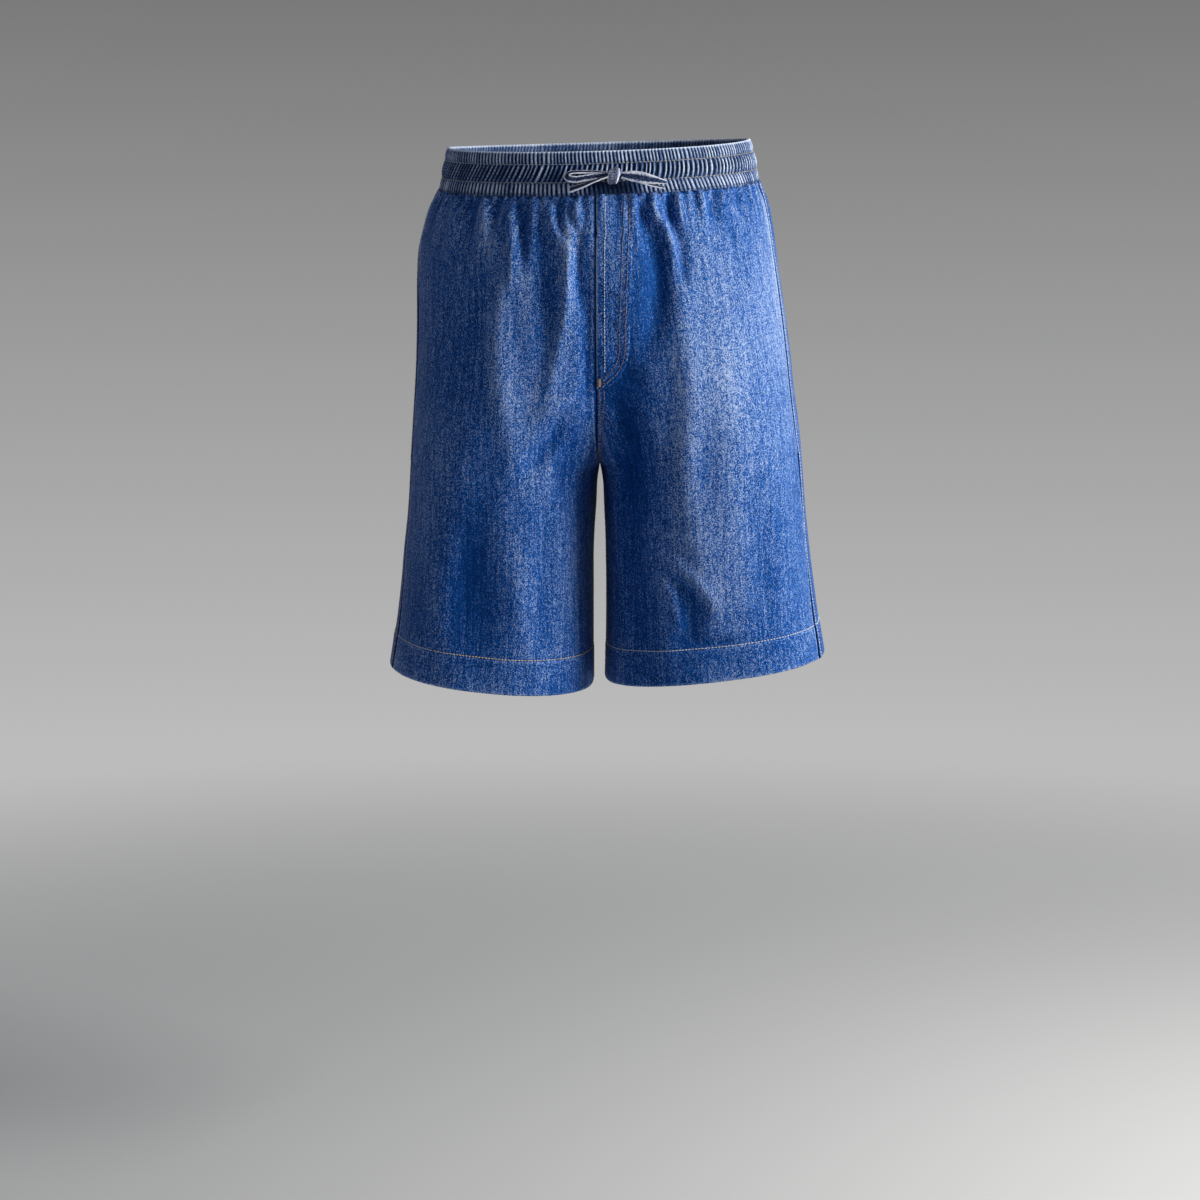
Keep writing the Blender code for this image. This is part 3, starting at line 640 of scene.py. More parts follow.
# The rows above the crotch and above the hem's edge that are closer than the rest
CROTCH_ROWS = np.array([6.6, 4.6, 3.2, 2.2, 1.4, 0.8, 0.3, 0.0])
HEM_EDGE_ROWS = np.array([1.8, 1.3, 0.8, 0.35, 0.0])
ROWS_APART = 0.8
# How the panels' relief shows in their colour: paler worn crests, and the troughs of the folds and gathers
# darker as painted shade
FOLD_WEAR_AND_SHADE = 0.045
GATHER_WEAR_AND_SHADE = 0.10
ROUGH_WEAR = 0.35
HEM_EDGE_WEAR = (0.5, 1.6)
HEM_ROW_WEAR = (0.175, 1.5)
LADDER = (0.5, 0.45)
WEAR_LIMITS = (-0.6, 1.0)
# How far a panel's top edge is tucked in, and from where
TOP_TUCK = (0.5, 1.2, -0.2)


def panel_rows():
    """The levels of a panel's rows: closer above the crotch and at the hem's edge."""
    even = np.arange(PANEL_TOP + TOP_TUCK[2], HEM - 2.4, ROW)
    crotch, edge = CROTCH - CROTCH_ROWS, HEM - HEM_EDGE_ROWS
    even = even[(even < crotch[0] - ROWS_APART) | (even > crotch[-1] + ROWS_APART)]
    return np.sort(np.concatenate([even, crotch, edge]))


def panel_grid(side, part):
    """A panel's outer face: its levels, arcs, points, and how worn each point is, with painted shade and
    highlight added in.
    """
    levels = panel_rows()
    count = FRONT_COUNT if part == "front" else BACK_COUNT
    top_distance = spread(part, side, PANEL_TOP, count)
    arcs, across, points, wear_and_shade = [], [], [], []
    for down in levels:
        width = panel_width(part, side, down)
        from_side = spread(part, side, down, count)
        sign = -1 if part == "front" else 1
        gape = POCKET_GAPE[side] * pocket_share(down) if part == "front" else 0.0
        at = seam_arc(side, down) + sign * (from_side + gape * bump(0, POCKET_GAPE_WIDTH, from_side))
        top_at = seam_arc(side, PANEL_TOP) + sign * top_distance
        base = form_points(side, down, at)
        folds = relief(base, down)
        gathers = gather_relief(side, part, down, top_at)
        seams = seam_relief(part, side, down, from_side, width)
        hem = hem_relief(down, at, 71 + 3 * (side > 0) + (part == "back"))
        lift = folds + gathers + seams + hem + drape(side, part, down, at)
        tuck, start, end = TOP_TUCK
        lift = lift - tuck * smooth_step(PANEL_TOP + start, PANEL_TOP + end, down)
        arcs.append(at)
        across.append(side * sign * from_side)
        points.append(base + outward(side, down, at) * lift[:, None])
        edges = seam_wear(from_side) + seam_wear(width - from_side)
        if part == "back":
            ladder = LADDER[0] * np.clip(puckers(down, from_side, 61 + (side > 0)), 0, 1)
            edges = edges + (ladder - LADDER[1]) * bump(SEAM_STRIP, SEAM_STRIP, from_side)
        up = HEM - down
        hem_wear = HEM_EDGE_WEAR[0] * bump(0, HEM_EDGE_WEAR[1], up)
        hem_wear = hem_wear + HEM_ROW_WEAR[0] * bump(HEM_ROW - HEM_ROW_WEAR[1], HEM_ROW_WEAR[1], up)
        # How worn each point is: rubbed seams, hem and crests paler; the troughs of the folds and gathers,
        # and the darker patches, are painted shade
        rough = ROUGH_WEAR * (seams + hem - hem_step(up))
        patches = washed_and_shaded(base[:, 0], base[:, 2], smooth_step(*FOLD_EDGE, -base[:, 1]))
        wear_and_shade.append(patches + FOLD_WEAR_AND_SHADE * folds + GATHER_WEAR_AND_SHADE * gathers + rough + edges + hem_wear)
    return {
        "levels": levels,
        "arcs": np.array(arcs),
        "across": np.array(across),
        "points": np.array(points),
        "wear_and_shade": np.clip(np.array(wear_and_shade), *WEAR_LIMITS),
    }


def grid_normals(points, side):
    """Unit normals of a grid of points, outwards."""
    down_run = np.gradient(points, axis=0)
    across = np.gradient(points, axis=1)
    normal = np.cross(down_run, across)
    length = np.linalg.norm(normal, axis=2)[..., None]
    return side * normal / np.maximum(length, 1e-9)


# ---------------------------------------------------------------- mesh making
def shell_faces(rows, columns, round_grid=False):
    """Quads of a closed wall between two grids, and which of them are on the inner grid."""
    across = np.arange(columns if round_grid else columns - 1)
    i, j = np.meshgrid(np.arange(rows - 1), across, indexing="ij")
    i, j = i.ravel(), j.ravel()
    k = (j + 1) % columns
    size = rows * columns
    outer = np.stack([i * columns + j, (i + 1) * columns + j, (i + 1) * columns + k, i * columns + k], 1)
    inner = outer[:, ::-1] + size
    k = (across + 1) % columns
    last = (rows - 1) * columns
    rims = [
        np.stack([across, k, size + k, size + across], 1),
        np.stack([last + k, last + across, size + last + across, size + last + k], 1),
    ]
    if not round_grid:
        a, b = np.arange(rows - 1) * columns, np.arange(1, rows) * columns
        rims.append(np.stack([b, a, size + a, size + b], 1))
        a, b = a + columns - 1, b + columns - 1
        rims.append(np.stack([a, b, size + b, size + a], 1))
    faces = np.concatenate([outer, *rims, inner])
    inside = np.arange(len(faces)) >= len(faces) - len(inner)
    return faces.tolist(), inside


def add_object(name, data):
    """A new object in the scene."""
    made = bpy.data.objects.new(name, data)
    bpy.context.scene.collection.objects.link(made)
    return made


def make_piece(name, points, faces, uv, materials, inside=None, values=None):
    """A mesh object from points in millimetres, with its cloth coordinates and point values."""
    points = np.asarray(points, float).reshape(-1, 3) * MM
    quads = np.array([face for face in faces if len(face) == 4])
    a, b, c, d = (points[quads[:, n]] for n in range(4))
    if (a * (np.cross(b, c) + np.cross(c, d))).sum() < 0:
        faces = [face[::-1] for face in faces]
    mesh = bpy.data.meshes.new(name)
    mesh.from_pydata(points.tolist(), [], faces)
    corner = np.zeros(len(mesh.loops), np.int32)
    mesh.loops.foreach_get("vertex_index", corner)
    layer = mesh.uv_layers.new(name="cloth")
    places = np.asarray(uv, float).reshape(-1, 2)[corner] * MM
    layer.uv.foreach_set("vector", places.astype(np.float32).ravel())
    for key, value in (values or {}).items():
        attribute = mesh.attributes.new(key, "FLOAT", "POINT")
        attribute.data.foreach_set("value", np.asarray(value, np.float32).ravel())
    for made in materials:
        mesh.materials.append(made)
    if inside is not None:
        mesh.polygons.foreach_set("material_index", inside.astype(np.int32))
    mesh.shade_smooth()
    return add_object(name, mesh)


def settle(piece, slot, *nodes):
    """A cloth piece rides with the shorts and stands for its solids."""
    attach(piece, "root")
    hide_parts(*nodes)
    return piece


def cloth_shell(name, skins, uv, materials, slot, wear_and_shade=None, round_grid=False):
    """A closed wall between an outer and an inner grid of points, with the wear of each, in which some
    pieces carry painted shade and highlight.
    """
    outer, inner = (np.array(skin) for skin in skins)
    faces, inside = shell_faces(*outer.shape[:2], round_grid)
    points = np.concatenate([outer.reshape(-1, 3), inner.reshape(-1, 3)])
    values = {} if wear_and_shade is None else {"wear_and_shade": np.concatenate([np.ravel(skin) for skin in wear_and_shade])}
    inside = inside if len(materials) > 1 else None
    uv = np.concatenate([np.array(uv).reshape(-1, 2)] * 2)
    return settle(make_piece(name, points, faces, uv, materials, inside, values), slot, name)


# ---------------------------------------------------------------- materials
def add_node(tree, kind, **sockets):
    """A shader node with values or links on its named inputs."""
    made = tree.nodes.new(kind)
    for name, value in sockets.items():
        if isinstance(value, bpy.types.NodeSocket):
            tree.links.new(value, made.inputs[name])
        else:
            made.inputs[name].default_value = value
    return made


def add_math(tree, operation, *values):
    made = tree.nodes.new("ShaderNodeMath")
    made.operation = operation
    for n, value in enumerate(values):
        if isinstance(value, bpy.types.NodeSocket):
            tree.links.new(value, made.inputs[n])
        else:
            made.inputs[n].default_value = value
    return made.outputs[0]


def colour_ramp(tree, fac, stops):
    """A colour ramp through (place, colour) stops."""
    made = add_node(tree, "ShaderNodeValToRGB", Fac=fac)
    elements = made.color_ramp.elements
    for n, (place, colour) in ((0, stops[0]), (1, stops[-1])):
        elements[n].position, elements[n].color = place, (*colour, 1)
    for place, colour in stops[1:-1]:
        elements.new(place).color = (*colour, 1)
    return made.outputs[0]


def stretched_noise(tree, coords, across, down, detail, rough):
    """Noise on the cloth with so many cells for each metre across and down."""
    scaled = add_node(tree, "ShaderNodeMapping", Vector=coords, Scale=(across, down, 1.0))
    sizes = {"Scale": 1.0, "Detail": detail, "Roughness": rough}
    made = add_node(tree, "ShaderNodeTexNoise", Vector=scaled.outputs[0], **sizes)
    made.noise_dimensions = "2D"
    return made.outputs[0]


def flecks(tree, coords, across, down):
    """A random value from 0 to 1 for each small fleck of weft, with so many flecks for each metre."""
    scaled = add_node(tree, "ShaderNodeMapping", Vector=coords, Scale=(across, down, 1.0))
    made = add_node(tree, "ShaderNodeTexVoronoi", Vector=scaled.outputs[0], Scale=1.0)
    made.voronoi_dimensions = "2D"
    split = add_node(tree, "ShaderNodeSeparateColor", Color=made.outputs["Color"])
    return split.outputs[0]


# The cloth's noises: cells for each metre across and down, detail and roughness
STREAK = (280, 13, 3.0, 0.6)
YARN = (760, 85, 2.0, 0.6)
PATCH = (620, 430, 2.0, 0.7)
CLOUD = (14, 9, 2.0, 0.5)
FLECK = (1700, 1250)
TWILL_TURN = 28
TWILL = {"Scale": 330.0, "Distortion": 1.6, "Detail": 1.0, "Detail Scale": 1.5}
# Weights in the cloth's shade, and in its bump beside the twill's
STREAK_WEIGHT, YARN_WEIGHT, FLECK_WEIGHT, PATCH_WEIGHT = 0.55, 0.62, 0.85, 0.22
CLOUD_WEIGHT, TWILL_WEIGHT = 0.30, 0.08
FLECK_BUMP, YARN_BUMP = 0.7, 0.4
EVEN_SHADE = 0.365
SHADE_STOPS = (0.05, 0.44, 0.95)
ROUGHNESS = 0.52
SPECULAR = 0.26
SPECULAR_TINT = (0.30, 0.60, 1.0, 1.0)
BUMP = {"Strength": 0.55, "Distance": 0.0004}


def denim(name, dark, middle, light, slub=1.0, fleck=1.0, wear_and_shade=0.8):
    """Washed denim: twill lines, faint upright slubs, pale flecks of weft, and paler worn places, with the
    painted shade and highlight that the points' wear values carry.
    """
    made = bpy.data.materials.new(name)
    made.use_nodes = True
    tree = made.node_tree
    shader = tree.nodes["Principled BSDF"]
    uv = tree.nodes.new("ShaderNodeUVMap")
    uv.uv_map = "cloth"
    coords = uv.outputs[0]
    streak, yarn = (stretched_noise(tree, coords, *sizes) for sizes in (STREAK, YARN))
    speck = flecks(tree, coords, *FLECK)
    patch, cloud = (stretched_noise(tree, coords, *sizes) for sizes in (PATCH, CLOUD))
    twill_at = add_node(tree, "ShaderNodeMapping", Vector=coords, Rotation=(0, 0, math.radians(TWILL_TURN)))
    twill = add_node(tree, "ShaderNodeTexWave", Vector=twill_at.outputs[0], **TWILL)
    # The points' wear values, which on the panels and the waistband also hold painted shade and highlight
    worn = add_node(tree, "ShaderNodeAttribute")
    worn.attribute_name = "wear_and_shade"
    parts = (
        (streak, STREAK_WEIGHT * slub, 0.5),
        (yarn, YARN_WEIGHT * slub, 0.5),
        (speck, FLECK_WEIGHT * fleck, 0.5),
        (patch, PATCH_WEIGHT * fleck, 0.5),
        (cloud, CLOUD_WEIGHT, 0.5),
        (twill.outputs["Fac"], TWILL_WEIGHT, 0.5),
        (worn.outputs["Fac"], wear_and_shade, 0.0),
    )
    total = EVEN_SHADE - sum(weight * middle_value for _, weight, middle_value in parts)
    for value, weight, _ in parts:
        total = add_math(tree, "MULTIPLY_ADD", value, weight, total)
    shade = colour_ramp(tree, total, tuple(zip(SHADE_STOPS, (dark, middle, light))))
    tree.links.new(shade, shader.inputs["Base Color"])
    shader.inputs["Roughness"].default_value = ROUGHNESS
    shader.inputs["Specular IOR Level"].default_value = SPECULAR
    shader.inputs["Specular Tint"].default_value = SPECULAR_TINT
    high = add_math(tree, "MULTIPLY_ADD", speck, FLECK_BUMP, twill.outputs["Fac"])
    high = add_math(tree, "MULTIPLY_ADD", yarn, YARN_BUMP, high)
    bumped = add_node(tree, "ShaderNodeBump", Height=high, **BUMP)
    tree.links.new(bumped.outputs[0], shader.inputs["Normal"])
    return made


THREAD_GRAIN = {"Scale": 260.0, "Detail": 2.0}
THREAD_STOPS = (0.3, 0.7)
THREAD_DARK = 0.55
THREAD_ROUGHNESS = 0.7
THREAD_SPECULAR = 0.3


def thread(name, colour):
    """Twisted sewing thread."""
    made = bpy.data.materials.new(name)
    made.use_nodes = True
    tree = made.node_tree
    shader = tree.nodes["Principled BSDF"]
    place = tree.nodes.new("ShaderNodeTexCoord")
    grain = add_node(tree, "ShaderNodeTexNoise", Vector=place.outputs["Object"], **THREAD_GRAIN)
    colours = ([THREAD_DARK * c for c in colour], colour)
    shade = colour_ramp(tree, grain.outputs[0], tuple(zip(THREAD_STOPS, colours)))
    tree.links.new(shade, shader.inputs["Base Color"])
    shader.inputs["Roughness"].default_value = THREAD_ROUGHNESS
    shader.inputs["Specular IOR Level"].default_value = THREAD_SPECULAR
    return made


DENIM = denim("denim_outer", (0.001, 0.030, 0.140), (0.003, 0.090, 0.370), (0.340, 0.410, 0.570))
REVERSE = denim("denim_reverse", (0.06, 0.10, 0.20), (0.20, 0.27, 0.42), (0.50, 0.57, 0.70), slub=0.6)
WASHED = denim(
    "denim_washed", (0.003, 0.008, 0.030), (0.040, 0.080, 0.210), (0.60, 0.69, 0.86), 0.3, 0.35, wear_and_shade=0.95
)
TAPE = denim("denim_tape", (0.006, 0.009, 0.030), (0.060, 0.080, 0.180), (0.66, 0.70, 0.82), 0.3, 0.7)
PALE_THREAD = thread("thread_pale", (0.62, 0.64, 0.68))
TAN_THREAD = thread("thread_tan", (0.46, 0.34, 0.22))
GOLD_THREAD = thread("thread_gold", (0.62, 0.52, 0.34))
BROWN_THREAD = thread("thread_brown", (0.28, 0.22, 0.21))
DARK_THREAD = thread("thread_dark", (0.030, 0.040, 0.090))


# ---------------------------------------------------------------- panels, hems and facings
def close_centre(outer, inner, levels, side):
    """Brings a panel's edge to the centre plane above the crotch, so the centre seam has no slit."""
    edge = 0 if abs(outer[0, 0, 0]) < abs(outer[0, -1, 0]) else -1
    above = levels < CROTCH
    for skin in (outer, inner):
        skin[above, edge, 0] = side * CENTRE_GAP


# Where each piece lies on the cloth, so that no two show the same grain
UV_LEFT, UV_BACK, UV_FLY, UV_TAPE, UV_KNOT = 400.0, 900.0, 1500.0, 2000.0, 2300.0


def make_panel(side, part, name):
    """A front or back panel as a thin shell."""
    grid = panel_grid(side, part)
    outer = grid["points"]
    normals = grid_normals(outer, side)
    flow = np.einsum("ijk,ijk->ij", normals, outer - outer.mean(axis=(0, 1)))
    grid["normals"] = normals if flow.mean() > 0 else -normals
    inner = outer - WALL * grid["normals"]
    close_centre(outer, inner, grid["levels"], side)
    uv = np.stack([grid["across"], -np.repeat(grid["levels"][:, None], outer.shape[1], 1)], axis=2)
    uv[..., 0] += UV_LEFT * (side > 0) + UV_BACK * (part == "back")
    wear_and_shade = (grid["wear_and_shade"], np.zeros(grid["wear_and_shade"].size))
    return cloth_shell(name, (outer, inner), uv, [DENIM, REVERSE], "denim", wear_and_shade), grid


panels = {}
pieces = {}
for side, word in ((-1, "right"), (1, "left")):
    for part in ("front", "back"):
        pieces[part, side], panels[part, side] = make_panel(side, part, f"{part}_{word}")


def ordered_row(grid, row):
    """A row's arc lengths, and its points with their normals, in order from the centre front."""
    arcs = grid["arcs"][row]
    order = slice(None) if arcs[-1] > arcs[0] else slice(None, None, -1)
    return arcs[order], np.concatenate([grid["points"][row], grid["normals"][row]], axis=1)[order]


def on_panel(grid, down, arc):
    """The point and outward normal of a panel's outer face at a level and an arc length."""
    levels = grid["levels"]
    i = int(np.clip(np.searchsorted(levels, down), 1, len(levels) - 1))
    share = (down - levels[i - 1]) / (levels[i] - levels[i - 1])
    share = min(max(share, 0.0), 1.0)
    found = []
    for row in (i - 1, i):
        arcs, both = ordered_row(grid, row)
        found.append([np.interp(arc, arcs, both[:, k]) for k in range(6)])
    mixed = (1 - share) * np.array(found[0]) + share * np.array(found[1])
    return mixed[:3], mixed[3:] / np.linalg.norm(mixed[3:])


HEM_UP = np.array([*HEM_EDGE_ROWS[::-1], *np.arange(4.0, HEM_TURN, 2.4), HEM_TURN - 0.6, HEM_TURN])
HEM_ROWS = len(HEM_UP)
# How much thinner the turned layer is at its fold (thinning, over this height) and at its top edge
HEM_FOLD_ROUND = (0.7, 1.8)
HEM_TOP_ROUND = 0.5
HEM_TOP_SHARE = 0.2
HEM_FOLD_WEAR = (0.4, 2.0)


def make_hem(side, name):
    """The turned-up layer inside a leg, which meets the panels' edge in a rounded fold."""
    outer, inner, uv = [], [], []
    fronts, backs = panels["front", side], panels["back", side]
    for rise in HEM_UP[::-1]:
        down = HEM - rise
        row = int(np.argmin(np.abs(fronts["levels"] - down)))
        ring = np.concatenate([ordered_row(grid, row)[1] for grid in (fronts, backs)])
        ring = 0.25 * np.roll(ring, 1, axis=0) + 0.5 * ring + 0.25 * np.roll(ring, -1, axis=0)
        normals = ring[:, 3:] / np.linalg.norm(ring[:, 3:], axis=1)[:, None]
        near = WALL + LAYER_GAP
        far = near + HEM_WALL
        round_in = HEM_FOLD_ROUND[0] * max(0.0, 1 - rise / HEM_FOLD_ROUND[1]) ** 2
        top_in = HEM_TOP_ROUND * max(0.0, 1 - (HEM_TURN - rise)) ** 2
        outer.append(ring[:, :3] - normals * (near + HEM_TOP_SHARE * top_in))
        inner.append(ring[:, :3] - normals * (far - round_in - top_in))
        along = np.concatenate([[0.0], np.cumsum(np.linalg.norm(np.diff(ring[:, :3], axis=0), axis=1))])
        uv.append(np.stack([along, np.full(len(along), rise)], axis=1))
    high, wide = HEM_FOLD_WEAR
    edge = high * bump(0, wide, HEM_UP[::-1])[:, None] * np.ones(np.shape(outer)[:2])
    skins, wear_and_shade = (outer, inner), (0 * edge, edge)
    return cloth_shell(name, skins, uv, [REVERSE], "denim_inside", wear_and_shade, round_grid=True)


FACING_BELOW = 12.0
FACING_WALL = 1.0
FACING_REACH = (24.0, 16.0)
FACING_COUNT = 18
FACING_STEP = 4.0
FACING_SUNK = WALL + 1.3


def make_facing(side, name):
    """The pocket facing behind the side seam's opening."""
    outer, inner, uv = [], [], []
    for down in np.arange(POCKET_TOP + 1.0, POCKET_BOTTOM + FACING_BELOW, FACING_STEP):
        seam = seam_arc(side, down)
        at = np.linspace(seam - FACING_REACH[0], seam + FACING_REACH[1], FACING_COUNT)
        base = form_points(side, down, at)
        normals = outward(side, down, at)
        sunk = relief(base, down) + drape(side, "front", down, at) - FACING_SUNK
        outer.append(base + normals * sunk[:, None])
        inner.append(base + normals * (sunk - FACING_WALL)[:, None])
        uv.append(np.stack([at, np.full(len(at), -down)], axis=1))
    return cloth_shell(name, (outer, inner), uv, [DENIM], "denim_inside")


for side, word in ((-1, "right"), (1, "left")):
    pieces["hem", side] = make_hem(side, f"hem_{word}")
    pieces["facing", side] = make_facing(side, f"pocket_facing_{word}")


# ---------------------------------------------------------------- mock fly
FLY_TOP_WIDTH = 36.0
FLY_LOW_WIDTH = 32.0
FLY_STRAIGHT_END = 165.0
FLY_END = 205.0
FLY_TIP_SHARE = 0.98
FLY_INSET = 0.5
FLY_THICK = 0.55
FLY_ROWS = 110
FLY_COUNT = 26
FLY_SEWN = (4.2, 9.6)
FLY_LINE = SEAM_ROW_2 + 0.8
FLY_EDGE_STEPS = 60
# How much thinner the edge is, and over what width; then grooves and puckers along the stitches
FLY_EDGE_THIN = (0.9, 2.6)
FLY_GROOVE = (-0.35, 0.9)
FLY_NEAR = (5.0, 4.5)
FLY_PUCKERS = {"seed": 91, "pitch": 5.2, "slant": 0.9}
FLY_PUCKER_HEIGHT = 0.26
FLY_UNEVEN = (0.35, 9.0, 14.0, 93)
FLY_LEAST = 0.25
FLY_OFF = (0.12, 0.05)
FLY_PUCKER_WEAR = 0.4
FLY_ROLL_WEAR = (0.9, 1.2)


def fly_width(down):
    """How wide the fly is at a level: nearly straight, then a quarter ellipse in to the seam."""
    share = (down - PANEL_TOP) / (FLY_STRAIGHT_END - PANEL_TOP)
    width = FLY_TOP_WIDTH + min(share, 1.0) * (FLY_LOW_WIDTH - FLY_TOP_WIDTH)
    curve = max(0.0, (down - FLY_STRAIGHT_END) / (FLY_END - FLY_STRAIGHT_END))
    return width * math.sqrt(max(1.0 - (FLY_TIP_SHARE * curve) ** 2, 0.0))


def fly_edge(inset, count):
    """A curve that follows the fly's outer edge this far inside it, as (level, arc) pairs."""
    top = np.linspace(PANEL_TOP, FLY_STRAIGHT_END, count)
    straight = [(down, fly_width(down) - inset) for down in top]
    turn = np.linspace(0.0, math.pi / 2, count)[1:]
    wide, tall = FLY_LOW_WIDTH - inset, FLY_END - FLY_STRAIGHT_END - inset
    curved = [(FLY_STRAIGHT_END + tall * math.sin(a), wide * math.cos(a)) for a in turn]
    return np.array(straight + curved)


def make_fly():
    """The mock fly: a lap on the front panel, sewn down near its curved edge."""
    grid = panels["front", 1]
    sewn = [fly_edge(inset, FLY_EDGE_STEPS) for inset in FLY_SEWN]
    deep, narrow = FLY_GROOVE
    uneven, across, along, seed = FLY_UNEVEN
    outer, inner, uv, wear_and_shade = [], [], [], []
    for down in np.linspace(PANEL_TOP + 0.2, FLY_END, FLY_ROWS):
        width = fly_width(down)
        shares = np.linspace(0, 1, FLY_COUNT)
        at = FLY_INSET + (width - FLY_INSET) * shares
        row_out, row_in, row_wear = [], [], []
        for arc in at:
            point, normal = on_panel(grid, down, arc)
            edge = min(arc - FLY_INSET, width - arc, FLY_END - down)
            thick = FLY_THICK * (1 - FLY_EDGE_THIN[0] * max(0.0, 1 - edge / FLY_EDGE_THIN[1]) ** 2)
            lines = [float(np.min(np.hypot(line[:, 0] - down, line[:, 1] - arc))) for line in sewn]
            lines.append(abs(arc - FLY_LINE))
            thick += sum(float(deep * bump(0, narrow, away)) for away in lines)
            near = float(bump(0, FLY_NEAR[0], lines[0]) + bump(0, FLY_NEAR[1], lines[2]))
            wavy = float(puckers(down, arc, **FLY_PUCKERS))
            thick += FLY_PUCKER_HEIGHT * near * wavy
            thick += uneven * float(noise(arc / across, down / along, seed))
            row_out.append(point + normal * (FLY_OFF[0] + max(thick, FLY_LEAST)))
            row_in.append(point + normal * FLY_OFF[1])
            rolled = FLY_ROLL_WEAR[0] * float(bump(FLY_INSET, FLY_ROLL_WEAR[1], arc))
            # The front's patches carry on over the fly: paler ones partly washed and partly painted
            # highlight, darker ones partly painted shade
            patch = float(washed_and_shaded(point[:1], point[2:], 1.0)[0])
            row_wear.append(FLY_PUCKER_WEAR * near * wavy + rolled + patch)
        outer.append(row_out)
        inner.append(row_in)
        wear_and_shade.append(row_wear)
        uv.append([(arc + UV_FLY, -down) for arc in at])
    wear_and_shade = np.array(wear_and_shade)
    return cloth_shell("fly", (outer, inner), uv, [DENIM], "denim", (wear_and_shade, 0 * wear_and_shade))


pieces["fly"] = make_fly()


# ---------------------------------------------------------------- waistband
CHANNEL_COLUMNS = ("top", "bottom", "puff", "count", "depth", "sharp", "lean", "lean_across")
CHANNELS = (
    (-20.0, -9.0, 1.5, 221, 2.1, 0.8, -0.12, 0.0),
    (-9.0, 8.0, 2.0, 171, 2.6, 1.8, 0.30, -0.25),
    (8.0, 20.0, 1.5, 193, 2.2, 0.8, -0.14, -0.26),
)
BAND_COLUMNS = 1700
BAND_WALL = 4.0
# The drawstring's knot (x, how far it stands off the waistband's face, z), and how wide it presses the
# gathers flat and paints the knot's shadow darker on them
KNOT_CENTRE = (17.0, 8.0, -23.4)
KNOT_SIZE = (12.0, 12.5, 16.0)
KNOT_SHADE = 24.0
BAND_SHARES = (1.0, 0.93, 0.82, 0.66, 0.5, 0.34, 0.18, 0.07)
# Rows of the section as (level, how far out, channel, strength of its gathers)
LOWER_LIP = ((20.9, -1.6, 2, 0.2), (20.9, -0.2, 2, 0.5))
TOP_FOLD = ((-20.4, 0.2, 0, 0.45), (-20.9, -0.7, 0, 0.4), (-20.8, -1.9, 0, 0.4), (-20.2, -2.8, 0, 0.35))
TOP_FOLD_WEAR = (0.6, -20.6, 1.1)
BAND_OUTER_ROWS = len(LOWER_LIP) + len(CHANNELS) * len(BAND_SHARES)
BAND_INNER_ROWS = 3
BAND_SINK = 0.35
BAND_INSIDE = 0.3 - BAND_WALL
OUTER_STRENGTH = (0.3, 0.7)
INNER_STRENGTH = (0.25, 0.2)
ROUND_WAIST = 820.0
LEAN_REACH = 150.0
CURL = 0.012
# How the gathers wander as (height, gathers to a cell, row, seed), and how unevenly high they stand
BAND_WANDER = ((0.34, 2.3, 0.5, 131), (0.55, 7.0, 3.5, 141))
WANDER_EDGE = 40
BAND_UNEVEN = (0.80, 0.20, 0.83, 151)
# How flat the knot presses the gathers under it, which also darkens them as painted shadow of the knot
KNOT_PRESS_AND_SHADOW = 0.6
INSIDE_SHARE = -0.6
# Colour of the gathers as (weight on the crests, darkening of all): crests paler, partly worn and partly
# painted highlight; grooves darker as painted shade
CREST_WEAR_AND_SHADE = (1.3, 0.62)
BAND_ROW_STEP = 1.5
BAND_ROUND = 1500.0


def channel_of(index):
    """One of the waistband's three channels, from the top down."""
    return dict(zip(CHANNEL_COLUMNS, CHANNELS[index]))


def band_profile():
    """The waistband's closed section from its lower lip up, over the top fold and down inside."""
    rows = list(LOWER_LIP)
    low, more = OUTER_STRENGTH
    for index in (2, 1, 0):
        channel = channel_of(index)
        tall = channel["bottom"] - channel["top"]
        for share in BAND_SHARES:
            level = channel["top"] + share * tall
            swell = max(math.sin(math.pi * share), 0.0) ** 0.5
            rows.append((level, channel["puff"] * swell - BAND_SINK, index, low + more * swell))
    rows += TOP_FOLD
    low, more = INNER_STRENGTH
    for index in (0, 1, 2):
        channel = channel_of(index)
        tall = channel["bottom"] - channel["top"]
        for k in range(BAND_INNER_ROWS):
            share = (k + 0.5) / BAND_INNER_ROWS
            level = channel["top"] + share * tall
            swell = math.sin(math.pi * share)
            rows.append((level, BAND_INSIDE - 0.5 * swell, index, low + more * swell))
    return rows


def band_gathers(index, turn, x, level):
    """How high a channel's gathers stand at places round the waist, 0 to 1, and their strength."""
    channel = channel_of(index)
    lean = channel["lean"] + channel["lean_across"] * x / LEAN_REACH
    middle = (channel["top"] + channel["bottom"]) / 2
    curl = CURL * (level - middle) ** 2 if index == 1 else 0
    at = turn + (lean * (level - middle) + curl) / ROUND_WAIST
    count = channel["count"]
    closes = np.sin(np.pi * turn) ** 2
    wander = sum(high * noise(at * count / cell, v, seed + index) for high, cell, v, seed in BAND_WANDER)
    phase = at * count + wander * np.minimum(1.0, WANDER_EDGE * closes)
    crest = np.abs(np.cos(np.pi * phase)) ** channel["sharp"]
    least, more, step, seed = BAND_UNEVEN
    return crest, least + more * noise(np.floor(phase + 0.5) * step, index * 3.0 + 0.5, seed)


def pressed_and_shadowed(points):
    """How flat the knot presses the waistband's lower gathers, which also paints the knot's shadow darker
    on them: 1 is not at all.
    """
    return 1 - KNOT_PRESS_AND_SHADOW * bump(KNOT_CENTRE[0], KNOT_SHADE, points[:, 0]) * (points[:, 1] < 0)


